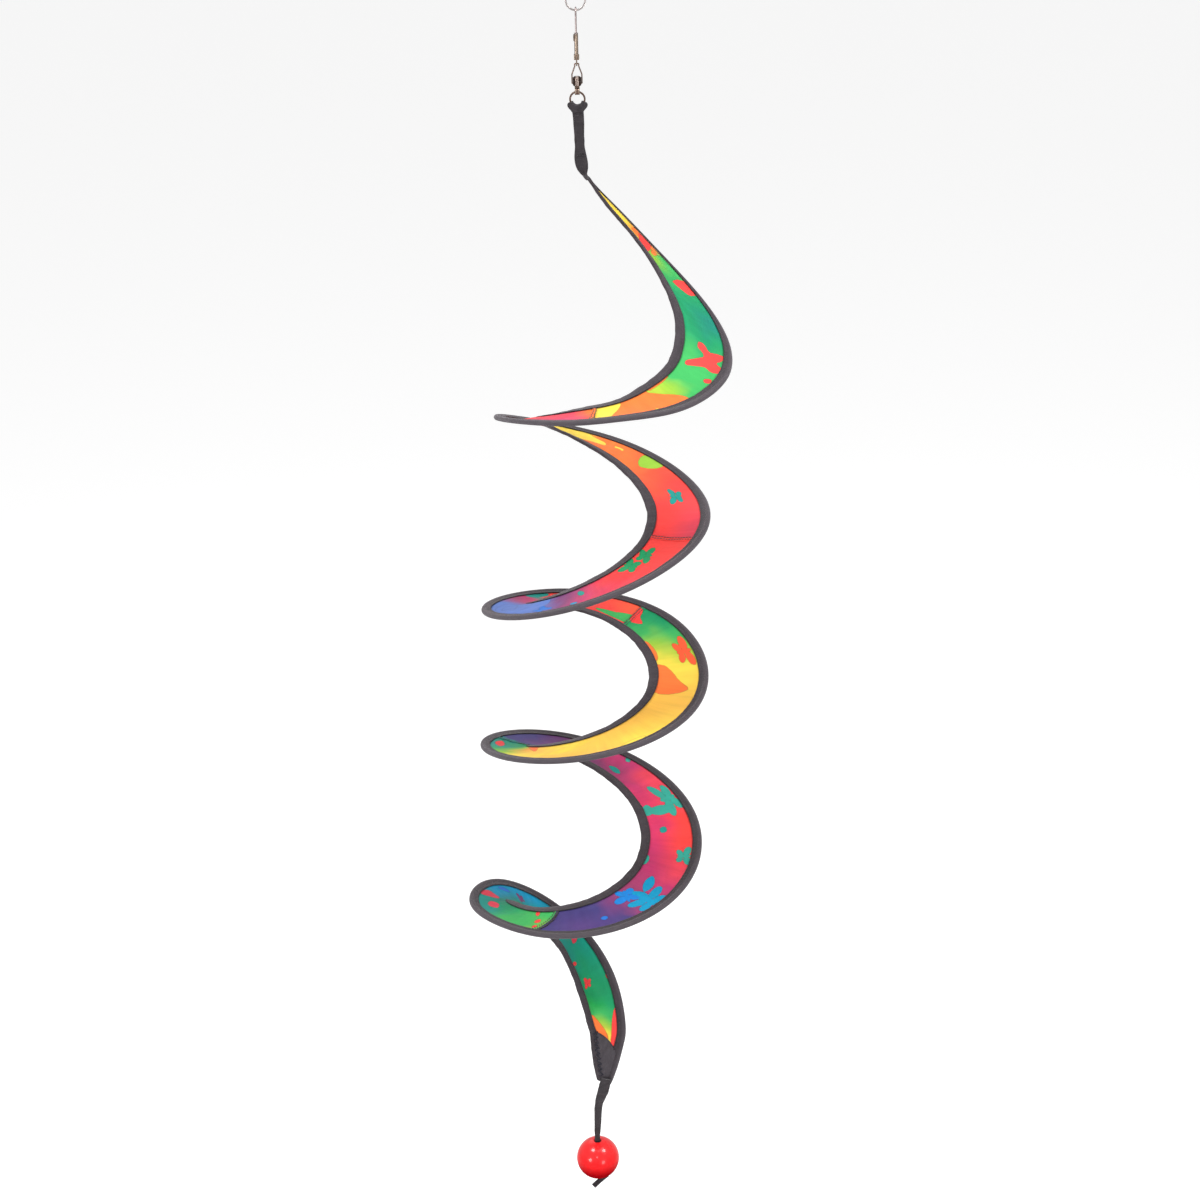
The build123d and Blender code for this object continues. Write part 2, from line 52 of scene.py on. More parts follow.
# ------------------------------------------------------------------ main dimensions
# angle, outer edge x y z, inner edge x y z
BAND = np.array([
    (-83, 3.4, 3, -104.6, 3.2, 1.3, -104.2), (-76, 4.6, 6.2, -105.4, 4.1, 4.4, -104.1),
    (-64, 10, 14.2, -113.2, 7.7, 9.8, -110.4), (-50, 23.9, 24.9, -130.1, 16.6, 16.3, -125.2),
    (-33, 48.5, 29.6, -158.2, 33.4, 19.8, -146.6), (-15, 75.7, 19.5, -187.3, 48.8, 12.3, -170.4),
    (0, 89.6, 1.3, -206.4, 56.6, 1.1, -188.1), (15, 91.3, -19.6, -219.1, 57.2, -11, -202.4),
    (30, 83.3, -37.5, -226.2, 53.1, -21.3, -212.9), (45, 70.4, -52.2, -230.6, 45.7, -29.6, -219.3),
    (60, 54.7, -63.6, -232.9, 36.5, -35.7, -224.5), (75, 37.1, -70.8, -233.5, 26.7, -40, -229.6),
    (90, 18.1, -73.7, -234.4, 16, -41.7, -233.4), (105, -1.3, -71.7, -236.5, 5, -40.1, -236.2),
    (135, -34.9, -51.8, -241.6, -14, -28.3, -243.9),
    (165, -53.9, -18.6, -249.3, -24.5, -9.8, -252.7),
    (195, -53.8, 18.3, -259.9, -24.4, 9.4, -262.3), (225, -35.7, 48.9, -272.5, -15.4, 24.2, -272.5),
    (255, -5.5, 65.7, -284.5, -1.2, 31.6, -283.3), (285, 28.6, 65.7, -295.5, 14.8, 31.5, -294.4),
    (315, 58.8, 48.8, -307.1, 29.1, 23.5, -305.7), (345, 76.9, 18.2, -317, 38, 8.8, -316.8),
    (375, 77, -18.5, -324.3, 38.1, -9, -327.2), (405, 58.1, -51.6, -332.9, 28.7, -25.3, -336.5),
    (435, 24.6, -71.5, -344.7, 12.2, -35.2, -346.1), (465, -14, -71.6, -357.8, -6.8, -35.4, -356.4),
    (495, -47.3, -52.4, -370, -23.3, -25.9, -366.9),
    (525, -66.4, -19.1, -380.5, -32.7, -9.5, -377),
    (555, -66.4, 19.1, -389.2, -32.7, 9.5, -386.1), (585, -47.3, 52.1, -396.3, -23.2, 26, -394.2),
    (615, -14.3, 71.1, -401.9, -6.7, 35.5, -402.2), (645, 23.6, 71.2, -407.6, 12.3, 35.6, -410.5),
    (675, 56.6, 52.3, -415.2, 28.7, 26.2, -419.8), (705, 75.8, 19.3, -426.7, 38.3, 9.7, -429.5),
    (735, 75.8, -19.4, -438.1, 38.3, -9.7, -438.1), (765, 56.4, -53.3, -446.3, 28.6, -26.8, -445.7),
    (795, 22.3, -73.1, -453.4, 11.4, -36.9, -453.6), (825, -17.2, -73.1, -460.4, -8.7, -36.8, -462.1),
    (855, -51.2, -53.3, -468.1, -26, -26.6, -471.1), (885, -70.6, -19.4, -477.2, -35.6, -9.6, -480.7),
    (915, -70.6, 19.3, -487.5, -35.6, 9.4, -490.8), (945, -51.3, 52.3, -498.9, -26.1, 25.2, -501.4),
    (975, -18.4, 71.1, -511, -10.6, 33.9, -512.5), (1005, 19.2, 71.3, -523.9, 6.7, 34, -524.2),
    (1035, 51.9, 52.9, -537, 22.1, 26, -536.2), (1065, 71.4, 19.7, -550.3, 31.7, 10, -548.2),
    (1095, 71.5, -20.1, -563, 31.7, -10.5, -559.5), (1125, 51.6, -55.8, -573.5, 20.7, -30, -568.8),
    (1155, 15.4, -77.3, -581.2, 0.5, -42.5, -576.5), (1185, -28, -76.8, -586.3, -22.5, -42.7, -583.3),
    (1215, -65, -53.1, -589.3, -42.3, -31.3, -590.1),
    (1245, -84.1, -17.9, -592.4, -53.8, -11.4, -597.6),
    (1282.5, -67.7, 29.3, -602.9, -48.7, 4.1, -613.8),
    (1305, -42.6, 45.6, -621.7, -39.2, 13.2, -631.3),
    (1327.5, -17.4, 49.3, -644.6, -26.3, 17.4, -651), (1350, 3, 42.9, -668.1, -17.4, 17.2, -671.8),
    (1372.5, 15.8, 30.9, -692.2, -11.1, 15.6, -693.3), (1397, 20.6, 16.4, -716.6, -5.9, 12.2, -714.1),
    (1417.5, 18.9, 6.6, -725.5, -4.6, 10.2, -721.1), (1440, 13.7, 0, -741.6, -2.5, -0.2, -737.1),
    (1462.5, 8, -2.1, -755.3, 0.6, -4.3, -750.7),
])
CLOTH_START = -62.0
SEAMS = [100.0, 385.4, 658.0, 920.0, 1193.0]  # angles of the cross seams
SLANTED = 4  # index of the seam that is sewn at a slant
END_OUT, END_IN = 1425.5, 1404.0  # where the cloth ends on the outer and the inner side
TAPE_START, TAPE_END = -76.0, 1458.0
TAPE_THICK = 0.30
RING_Z, RING_RADIUS = -57.5, 4.35  # the ring that carries the hanger strap
BEAD_X, BEAD_Z, BEAD_RADIUS, BEAD_BORE, BEAD_FILLET = -0.8, -817.0, 15.25, 2.5, 0.8


# ------------------------------------------------------------------ curves and noise
def spline(knots, values):
    """Natural cubic spline through one row of values per knot."""
    count = len(knots)
    gap = np.diff(knots)
    slope = np.diff(values, axis=0) / gap[:, None]
    system = np.zeros((count, count))
    target = np.zeros((count, values.shape[1]))
    system[0, 0] = system[-1, -1] = 1
    for i in range(1, count - 1):
        system[i, i - 1 : i + 2] = gap[i - 1], 2 * (gap[i - 1] + gap[i]), gap[i]
        target[i] = 6 * (slope[i] - slope[i - 1])
    bend = np.linalg.solve(system, target)

    def evaluate(where):
        where = np.atleast_1d(np.asarray(where, float))
        i = np.clip(np.searchsorted(knots, where) - 1, 0, count - 2)
        ahead, behind = (knots[i + 1] - where)[:, None], (where - knots[i])[:, None]
        step = gap[i][:, None]
        return (
            (bend[i] * ahead**3 + bend[i + 1] * behind**3) / (6 * step)
            + (values[i] / step - bend[i] * step / 6) * ahead
            + (values[i + 1] / step - bend[i + 1] * step / 6) * behind
        )

    return evaluate


def run_length(points):
    """Distance along a polyline at each of its points."""
    return np.r_[0, np.cumsum(np.linalg.norm(np.diff(points, axis=0), axis=1))]


def dense_curve(points, per_span):
    """Smooth curve through the points, with per_span steps for each gap on average."""
    points = np.asarray(points, float)
    length = run_length(points)
    steps = np.linspace(0, length[-1], per_span * (len(points) - 1) + 1)
    return spline(length, points)(steps)


def smooth(low, high, x):
    share = np.clip((np.asarray(x, float) - low) / (high - low), 0, 1)
    return share * share * (3 - 2 * share)


NOISE_TABLE = np.random.RandomState(7).rand(64, 4096) * 2 - 1


def noise1(x, row):
    """Smooth value noise in -1..1, one value per unit of x. The row picks the pattern."""
    x = np.asarray(x, float)
    i = np.floor(x).astype(int)
    share = x - i
    share = share * share * (3 - 2 * share)
    row = row % 64
    return NOISE_TABLE[row, i % 4096] * (1 - share) + NOISE_TABLE[row, (i + 1) % 4096] * share


def noise2(x, y, row):
    y = np.asarray(y, float)
    j = np.floor(y).astype(int)
    share = y - j
    share = share * share * (3 - 2 * share)
    near, far = noise1(x, j * 7 + row * 13), noise1(x, (j + 1) * 7 + row * 13)
    return near * (1 - share) + far * share


# ------------------------------------------------------------------ mesh helpers
def build(name, verts, faces, uv, material, scalars={}, colours={}, sharp=None):
    """Smooth shaded mesh object from vertices and UVs in mm."""
    mesh = bpy.data.meshes.new(name)
    mesh.from_pydata((np.asarray(verts) * MM).tolist(), [], [list(map(int, f)) for f in faces])
    mesh.validate()
    mesh.update()
    mesh.polygons.foreach_set("use_smooth", [True] * len(mesh.polygons))
    if sharp:
        mesh.set_sharp_from_angle(angle=math.radians(sharp))
    if uv is not None:
        layer = mesh.uv_layers.new(name="UVMap")
        index = np.zeros(len(mesh.loops), int)
        mesh.loops.foreach_get("vertex_index", index)
        layer.data.foreach_set("uv", np.asarray(uv * MM, np.float32)[index].ravel())
    for key, values in scalars.items():
        layer = mesh.attributes.new(key, "FLOAT", "POINT")
        layer.data.foreach_set("value", np.asarray(values, np.float32))
    for key, values in colours.items():
        layer = mesh.attributes.new(key, "FLOAT_COLOR", "POINT")
        rgba = np.ones((len(values), 4), np.float32)
        rgba[:, :3] = values
        layer.data.foreach_set("color", rgba.ravel())
    piece = bpy.data.objects.new(name, mesh)
    bpy.context.scene.collection.objects.link(piece)
    mesh.materials.append(material)
    return piece


def grid_faces(rows, cols, wrap_rows=False, wrap_cols=False):
    i = np.arange(rows if wrap_rows else rows - 1)
    j = np.arange(cols if wrap_cols else cols - 1)
    i, j = np.meshgrid(i, j, indexing="ij")
    i2, j2 = (i + 1) % rows, (j + 1) % cols
    quads = [i * cols + j, i2 * cols + j, i2 * cols + j2, i * cols + j2]
    return np.stack(quads, -1).reshape(-1, 4)


def grid_uv(along, around):
    return np.stack(np.meshgrid(along, around, indexing="ij"), -1).reshape(-1, 2)


def build_slab(name, top, bottom, uv, material, scalars={}, colours={}):
    """Closed sheet between two grids (rows, cols, 3); both sides share UVs and attributes."""
    rows, cols = top.shape[:2]
    count = rows * cols
    quads = grid_faces(rows, cols)
    index = np.arange(count).reshape(rows, cols)
    rim = np.concatenate([index[0, :-1], index[:-1, -1], index[-1, :0:-1], index[:0:-1, 0]])
    after = np.roll(rim, -1)
    walls = np.stack([rim, after, after + count, rim + count], 1)

    def twice(values):
        return np.concatenate([values, values])

    return build(
        name, np.concatenate([top.reshape(-1, 3), bottom.reshape(-1, 3)]),
        np.concatenate([quads, quads[:, ::-1] + count, walls]), twice(uv), material,
        {key: twice(v) for key, v in scalars.items()},
        {key: twice(v) for key, v in colours.items()},
    )


def ring_faces(count, size):
    """Faces of a tube of `count` rings with `size` points each, capped at both ends."""
    faces = [list(quad) for quad in grid_faces(count, size, wrap_cols=True)]
    return faces + [list(range(size))[::-1], list(range((count - 1) * size, count * size))]


def sweep(path, section, up):
    """Sweep one (side, up) section, or one per path point, along a path without twist."""
    tangent = np.gradient(path, axis=0)
    tangent /= np.linalg.norm(tangent, axis=1)[:, None]
    ups = []
    up = np.array(up, float)
    for direction in tangent:
        up = up - direction * (up @ direction)
        up = up / np.linalg.norm(up)
        ups.append(up)
    ups = np.array(ups)
    sides = np.cross(tangent, ups)
    sections = np.broadcast_to(section, (len(path),) + section.shape[-2:])
    rings = path[:, None] + sides[:, None] * sections[..., :1] + ups[:, None] * sections[..., 1:]
    uv = grid_uv(run_length(path), run_length(sections[0]))
    return rings.reshape(-1, 3), ring_faces(*rings.shape[:2]), uv


def circle(radius, count):
    angle = np.arange(count) * 2 * math.pi / count
    return np.stack([radius * np.cos(angle), radius * np.sin(angle)], 1)


def rounded(wide, tall, radius):
    """Rounded rectangle section, five points per corner."""
    points = []
    for sx, sy, start in ((1, 1, 0), (-1, 1, 90), (-1, -1, 180), (1, -1, 270)):
        for j in range(5):
            angle = math.radians(start + 90 * j / 4)
            points.append((
                sx * (wide / 2 - radius) + radius * math.cos(angle),
                sy * (tall / 2 - radius) + radius * math.sin(angle),
            ))
    return np.array(points)


def attach(piece, carrier, replaced=None, collapses=False):
    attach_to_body(piece, carrier)
    if collapses:
        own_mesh(piece)
    if replaced:
        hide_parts(replaced)


def attach_band(piece, replaced=None):
    attach(piece, "spiral", replaced, collapses=True)


# ------------------------------------------------------------------ materials
def srgb(*levels):
    """Linear colour from sRGB levels of 0..255."""
    levels = [c / 255.0 for c in levels]
    return np.array([c / 12.92 if c <= 0.04045 else ((c + 0.055) / 1.055) ** 2.4 for c in levels])


class Shader:
    """A material built node by node; helpers return the output socket."""

    def __init__(self, name):
        self.material = bpy.data.materials.new(name)
        self.material.use_nodes = True
        self.tree = self.material.node_tree
        self.tree.nodes.clear()
        self.output = self.add("OutputMaterial")
        self.bsdf = self.add("BsdfPrincipled")
        self.put(self.output.inputs["Surface"], self.bsdf.outputs[0])

    def add(self, kind, values={}, **settings):
        node = self.tree.nodes.new("ShaderNode" + kind)
        for key, value in settings.items():
            setattr(node, key, value)
        for key, value in values.items():
            self.put(node.inputs[key], value)
        return node

    def put(self, socket, value):
        """Link a socket, or set a plain value (colours are given as three numbers)."""
        if isinstance(value, bpy.types.NodeSocket):
            self.tree.links.new(value, socket)
        elif socket.type == "RGBA":
            socket.default_value = (*value, 1)
        else:
            socket.default_value = value

    def attr(self, name, output="Fac"):
        return self.add("Attribute", attribute_name=name).outputs[output]

    def mapped(self, source, scale, turn=(0, 0, 0)):
        vector = self.add("TexCoord").outputs[source]
        return self.add("Mapping", {"Vector": vector, "Scale": scale, "Rotation": turn}).outputs[0]

    def uv(self, x, y):
        """UVs, in metres on the mesh, scaled along and across the piece."""
        return self.mapped("UV", (x, y, 1))

    def noise(self, vector, scale=1.0, detail=2.0, rough=0.5):
        values = {"Vector": vector, "Scale": scale, "Detail": detail, "Roughness": rough}
        return self.add("TexNoise", values).outputs["Fac"]

    def wave(self, vector, scale, axis, distortion, detail_scale):
        values = {"Vector": vector, "Scale": scale, "Distortion": distortion,
                  "Detail Scale": detail_scale}
        return self.add("TexWave", values, wave_type="BANDS", bands_direction=axis,
                        wave_profile="SIN").outputs["Fac"]

    def math(self, operation, first, second=0.0):
        return self.add("Math", {0: first, 1: second}, operation=operation).outputs[0]

    def remap(self, value, span, to):
        values = {"Value": value, "From Min": span[0], "From Max": span[1],
                  "To Min": to[0], "To Max": to[1]}
        return self.add("MapRange", values).outputs[0]

    def mix(self, factor, first, second, blend="MIX"):
        values = {0: factor, 6: first, 7: second}
        return self.add("Mix", values, data_type="RGBA", blend_type=blend).outputs[2]

    def bump(self, height, strength, distance, normal=None):
        values = {"Height": height, "Strength": strength, "Distance": distance}
        if normal is not None:
            values["Normal"] = normal
        return self.add("Bump", values).outputs[0]

    def surface(self, values):
        for key, value in values.items():
            self.put(self.bsdf.inputs[key], value)
        return self.material


def cloth_material(name):
    """Printed polyester: a base wash, two layers of crisp printed shapes and a plain weave."""
    mat = Shader(name)
    # darker and lighter streaks across the band, painted shade and light of small folds, and a soft
    # blotch
    streak = mat.noise(mat.uv(220, 18), detail=3.0, rough=0.6)
    blotch = mat.noise(mat.uv(30, 30))
    tone = mat.math(
        "MULTIPLY", mat.remap(streak, span=(0.25, 0.75), to=(0.89, 1.05)),
        mat.remap(blotch, span=(0.2, 0.8), to=(0.95, 1.05)),
    )
    ragged = mat.noise(mat.uv(700, 700), detail=1.0)
    wobble = mat.math("MULTIPLY", mat.math("SUBTRACT", ragged, 0.5), 0.5)
    colour = mat.attr("base", "Color")
    factors = [mat.attr("shade")]
    for layer in "ab":
        distance = mat.math("ADD", mat.attr("dist_" + layer), wobble)
        inside = mat.remap(distance, span=(0.07, -0.07), to=(0.0, 1.0))
        colour = mat.mix(inside, colour, mat.attr("col_" + layer, "Color"))
        # a darker line of ink along each outline
        outline = mat.math("ABSOLUTE", distance)
        factors.append(mat.remap(outline, span=(0.0, 0.55), to=(0.66, 1.0)))
    for factor in factors:
        tone = mat.math("MULTIPLY", tone, factor)
    grey = mat.add("CombineColor", {0: tone, 1: tone, 2: tone}).outputs[0]
    colour = mat.mix(1.0, colour, grey, "MULTIPLY")
    # painted shade darkens the spaces between the threads of the weave
    uv = mat.uv(1000, 1000)
    across, along = (mat.wave(uv, 0.75, axis, distortion=0.6, detail_scale=0.4) for axis in "XY")
    weave = mat.math("MULTIPLY", across, along)
    gap_shade = mat.remap(weave, span=(0.0, 1.0), to=(0.10, 0.0))
    colour = mat.mix(gap_shade, colour, (0.02, 0.015, 0.02))
    wrinkle = mat.noise(mat.uv(120, 45), detail=3.0, rough=0.55)
    normal = mat.bump(weave, strength=0.35, distance=0.00006)
    normal = mat.bump(wrinkle, strength=0.45, distance=0.0011, normal=normal)
    mat.surface({
        "Base Color": colour, "Roughness": 0.55, "Specular IOR Level": 0.20,
        "Sheen Weight": 0.06, "Sheen Roughness": 0.45, "Normal": normal,
    })
    # thin cloth lets a little light through
    glow = mat.add("BsdfTranslucent", {"Color": colour}).outputs[0]
    blend = mat.add("MixShader", {0: 0.16, 1: mat.bsdf.outputs[0], 2: glow})
    mat.put(mat.output.inputs["Surface"], blend.outputs[0])
    return mat.material


def tape_material(name, dark, light, rib, rough, edged=False):
    """Black grosgrain tape: fine ribs across the tape, slightly mottled, with lint."""
    mat = Shader(name)
    uv = mat.uv(1000, 1000)
    ribs = mat.wave(uv, rib, "X", distortion=0.9, detail_scale=0.7)
    warp = mat.wave(uv, rib * 1.2, "Y", distortion=0.4, detail_scale=0.5)
    blotch = mat.noise(mat.uv(160, 300), detail=3.0, rough=0.6)
    lint = mat.noise(mat.uv(2400, 900), detail=2.0, rough=0.7)
    mottle = mat.remap(blotch, span=(0.3, 0.7), to=(0.0, 0.65))
    colour = mat.mix(mottle, srgb(*dark), srgb(*light))
    # painted shade in the grooves between the ribs
    groove = mat.remap(ribs, span=(0.0, 1.0), to=(0.35, 0.0))
    colour = mat.mix(groove, colour, (0.010, 0.008, 0.010))
    fluff = mat.remap(lint, span=(0.62, 0.80), to=(0.0, 0.35))
    colour = mat.mix(fluff, colour, srgb(128, 120, 124))
    if edged:
        # painted highlight along the fold, and painted shade where the tape meets the cloth
        nose_highlight = mat.math("MULTIPLY", mat.attr("nose"), 0.20)
        colour = mat.mix(nose_highlight, colour, srgb(112, 105, 112))
        rim_shade = mat.math("MULTIPLY", mat.attr("rim"), 0.85)
        colour = mat.mix(rim_shade, colour, (0.008, 0.006, 0.008))
    height = mat.math("ADD", mat.math("MULTIPLY", ribs, 0.7), mat.math("MULTIPLY", warp, 0.3))
    normal = mat.bump(height, strength=0.6, distance=0.00012)
    normal = mat.bump(mat.noise(mat.uv(260, 260)), strength=0.25, distance=0.0005, normal=normal)
    return mat.surface({
        "Base Color": colour, "Roughness": rough, "Specular IOR Level": 0.22,
        "Sheen Weight": 0.22, "Sheen Roughness": 0.5, "Sheen Tint": (0.9, 0.86, 0.9),
        "Normal": normal,
    })


def thread_material(name, colour):
    """Twisted thread, with painted shade in the twist and a painted highlight on its crests."""
    mat = Shader(name)
    twist = mat.wave(mat.uv(1000, 1000), 2.2, "DIAGONAL", distortion=0.3, detail_scale=0.5)
    tint = mat.mix(twist, srgb(*colour) * 0.55, srgb(*[level + 26 for level in colour]))
    return mat.surface({
        "Base Color": tint, "Roughness": 0.55, "Specular IOR Level": 0.3, "Sheen Weight": 0.15,
        "Normal": mat.bump(twist, strength=0.5, distance=0.00008),
    })


def metal_material(name, colour, rough, tarnish, amount, brushed=0.0, grime=0.25, metallic=1.0,
                   middle_highlight=None):
    """Patchy finish with fine marks and grime; an optional colour paints a bright highlight strip down
    the middle of x.
    """
    mat = Shader(name)
    place = mat.mapped("Object", (1, 1, 1))
    patches = mat.noise(place, scale=420.0, detail=3.0, rough=0.6)
    specks = mat.noise(place, scale=2600.0, detail=2.0, rough=0.6)
    stretched = mat.mapped("Object", (1800, 1800, 160), turn=(0.3, 0.5, 0.2))
    scratches = mat.noise(stretched, detail=3.0, rough=0.7)
    stain = mat.remap(patches, span=(0.35, 0.7), to=(0.0, amount))
    tint = mat.mix(stain, srgb(*colour), srgb(*tarnish))
    dirt = mat.remap(specks, span=(0.58, 0.75), to=(0.0, grime))
    tint = mat.mix(dirt, tint, srgb(*[level * 0.35 for level in tarnish]))
    # painted highlight: a bright strip down the middle of x
    if middle_highlight:
        axes = mat.add("SeparateXYZ", {0: mat.add("TexCoord").outputs["Object"]})
        off_centre = mat.add("Math", {0: axes.outputs[0]}, operation="ABSOLUTE").outputs[0]
        middle = mat.remap(off_centre, span=(0.00062, 0.00095), to=(1.0, 0.0))
        tint = mat.mix(middle, tint, middle_highlight)
    roughness = mat.math(
        "ADD", mat.remap(patches, span=(0.3, 0.7), to=(rough * 0.75, rough * 1.45)),
        mat.remap(scratches, span=(0.45, 0.75), to=(0.0, 0.12 + brushed)),
    )
    normal = mat.bump(patches, strength=0.12, distance=0.00015)
    normal = mat.bump(scratches, strength=0.22, distance=0.00004, normal=normal)
    return mat.surface({
        "Base Color": tint, "Roughness": roughness, "Metallic": metallic, "Normal": normal,
    })


def bead_material(name):
    """Glossy lacquer: red with faint clouds, a faint orange peel, tiny specks and painted shade towards
    the underside.
    """
    mat = Shader(name)
    place = mat.mapped("Object", (1, 1, 1))
    cloud = mat.noise(place, scale=90.0)
    peel = mat.noise(place, scale=700.0, detail=1.0)
    speck = mat.noise(place, scale=3600.0, detail=1.0)
    clouded = mat.remap(cloud, span=(0.3, 0.7), to=(0.0, 0.5))
    colour = mat.mix(clouded, srgb(226, 24, 28), srgb(210, 16, 22))
    specked = mat.remap(speck, span=(0.74, 0.80), to=(0.0, 0.5))
    colour = mat.mix(specked, colour, srgb(120, 8, 12))
    # painted shade: the red darkens towards the underside, and the gloss fades there too; the spans are
    # heights in metres
    height = mat.add("SeparateXYZ", {0: place}).outputs[2]
    lit = mat.remap(height, span=(-0.8240, -0.8146), to=(0.0, 1.0))
    gloss = mat.remap(height, span=(-0.8230, -0.8085), to=(0.0, 1.0))
    gloss = mat.math("MULTIPLY", gloss, gloss)
    return mat.surface({
        "Base Color": mat.mix(lit, srgb(140, 2, 10), colour),
        "Roughness": mat.remap(cloud, span=(0.3, 0.7), to=(0.26, 0.34)),
        "Specular IOR Level": mat.math("MULTIPLY", gloss, 0.22),
        "Coat Weight": mat.math("ADD", 0.01, mat.math("MULTIPLY", gloss, 0.55)),
        "Coat Roughness": 0.12,
        "Normal": mat.bump(peel, strength=0.008, distance=0.0003),
    })


EDGE_TAPE = tape_material(
    "edge_tape_ribbed", dark=(45, 39, 44), light=(65, 58, 63), rib=1.15, rough=0.72, edged=True)
WEBBING = tape_material(
    "hanger_webbing", dark=(30, 27, 30), light=(62, 56, 60), rib=0.9, rough=0.78)
PATCH_TWILL = tape_material(
    "patch_twill", dark=(60, 55, 60), light=(82, 76, 82), rib=1.5, rough=0.7)
THREAD = thread_material("black_thread", (44, 39, 43))
ROD_FIBRE = metal_material(
    "rod_glass_fibre", (222, 214, 190), rough=0.5, tarnish=(190, 178, 150), amount=0.3,
    metallic=0.0)
CLOTHS = [cloth_material("printed_cloth_%d" % k) for k in range(1, 7)]
LACQUER = bead_material("red_lacquer")

# ------------------------------------------------------------------ surface of the band
# Outer edge, inward unit vector, upper normal and width, sampled every quarter degree.
SAMPLES = np.arange(TAPE_START - 10, TAPE_END + 12, 0.25)
band_edges = spline(BAND[:, 0], BAND[:, 1:])
edges = band_edges(SAMPLES)
OUTER_EDGE = edges[:, :3]
WIDTHS = np.linalg.norm(edges[:, 3:] - OUTER_EDGE, axis=1)
INWARD = (edges[:, 3:] - OUTER_EDGE) / WIDTHS[:, None]
travel = band_edges(SAMPLES + 0.5) - band_edges(SAMPLES - 0.5)
NORMALS = np.cross(INWARD, (travel[:, :3] + travel[:, 3:]) / 2)
NORMALS /= np.linalg.norm(NORMALS, axis=1)[:, None]
NORMALS[NORMALS[:, 2] < 0] *= -1
ARCS = {
    "out": run_length(OUTER_EDGE),
    "in": run_length(OUTER_EDGE + INWARD * WIDTHS[:, None]),
    "mid": run_length(OUTER_EDGE + INWARD * (WIDTHS / 2)[:, None]),
}


def arc(phi, side="mid"):
    """Length along the band at an angle."""
    return np.interp(phi, SAMPLES, ARCS[side])


def phi_at(length, side="mid"):
    return np.interp(length, ARCS[side], SAMPLES)


def width(phi):
    return np.interp(phi, SAMPLES, WIDTHS)


def interpolated(phi, table):
    return np.stack([np.interp(phi, SAMPLES, table[:, k]) for k in range(3)], -1)


def point(phi, inset, height):
    """Point at an angle, an inset from the outer edge and a height above the flat band."""
    return (
        interpolated(phi, OUTER_EDGE)
        + interpolated(phi, INWARD) * np.asarray(inset)[..., None]
        + interpolated(phi, NORMALS) * np.asarray(height)[..., None]
    )


# angles and the widest a tape's leg may be there: it narrows at the ends of the band
LEG_LIMITS = {
    "out": ([-76, -64, -50, -35, -20, 0, 16], [0.9, 1.5, 1.9, 2.6, 3.8, 5.2, 6.0]),
    "in": ([-76, -64, -50, -38, -25, -12, 0, 1320, 1345, 1395, 1412],
           [0.9, 1.9, 2.5, 2.7, 3.7, 5.3, 6.0, 6.0, 4.5, 4.3, 5.0]),
}


def leg(phi, side):
    return np.minimum(np.interp(phi, *LEG_LIMITS[side]), 0.47 * width(phi))


def nose_radius(phi):
    """Radius of the outer tape's round nose."""
    return np.interp(phi, [-76, -64, -50, -35, -20, 0], [0.42, 0.62, 0.76, 0.92, 1.2, 1.42])


def lean(k, share):
    """Extra angle of seam k at a share of the width."""
    return (3.0 - 12.0 * np.asarray(share, float)) * (k == SLANTED)


def seam_arc(k, share):
    return arc(SEAMS[k] + lean(k, share))


def end_line(share):
    """Angle where the cloth ends at a share of the width."""
    return END_OUT + (END_IN - END_OUT) * (share - 0.13) / 0.72


def cloth_height(phi, inset):
    """Height of the cloth's mid surface above the flat band."""
    wide, length = width(phi), arc(phi)
    outer, inner = leg(phi, "out"), leg(phi, "in")
    free = smooth(0.0, 4.0, inset - outer + 0.4) * smooth(0.0, 4.0, wide - inner + 0.4 - inset)
    span = np.clip(wide - outer - inner, 0.1, None)
    share = np.clip((inset - outer) / span, 0, 1)
    sag = -0.75 * np.sin(math.pi * share) * smooth(4, 20, span)
    folds = 0.75 * noise2(length / 34.0, inset / 26.0, 3)
    folds = folds + 0.35 * noise2(length / 13.0 + 0.15 * inset, inset / 22.0, 5)
    pull = 0.30 * noise2(length / 5.2, inset / 30.0, 8) * smooth(0.55, 1.0, share)
    pull = pull + 0.16 * noise2(length / 4.0, inset / 30.0, 9) * smooth(0.45, 0.0, share)
    # the seams draw the cloth up beside them
    pucker = 0
    for k in range(len(SEAMS)):
        away = length - seam_arc(k, inset / wide)
        ripple = noise2(inset / 3.4, away / 40.0 + k, 11)
        pucker = pucker + 0.42 * np.exp(-((away / 6.0) ** 2)) * ripple
    return free * (sag + folds + pull + pucker)


# ------------------------------------------------------------------ the print
GREEN, EMERALD, TEAL, LIME = srgb(62, 178, 92), srgb(14, 150, 96), srgb(14, 134, 112), srgb(150, 198, 60)
YELLOW, GOLD, ORANGE, RED = srgb(250, 218, 78), srgb(250, 196, 80), srgb(250, 124, 56), srgb(246, 68, 64)
DEEPRED, CRIMSON, MAGENTA = srgb(236, 60, 62), srgb(222, 62, 84), srgb(196, 56, 112)
PURPLE, INDIGO, LILAC = srgb(124, 62, 118), srgb(70, 62, 124), srgb(92, 124, 198)
BLUE, CYAN, AZURE = srgb(40, 116, 208), srgb(0, 152, 196), srgb(24, 130, 212)
DARKGREEN, MINT, SEA = srgb(22, 148, 92), srgb(52, 168, 150), srgb(24, 150, 140)
PLUM, PINK, CORAL = srgb(160, 64, 110), srgb(236, 70, 92), srgb(252, 100, 60)

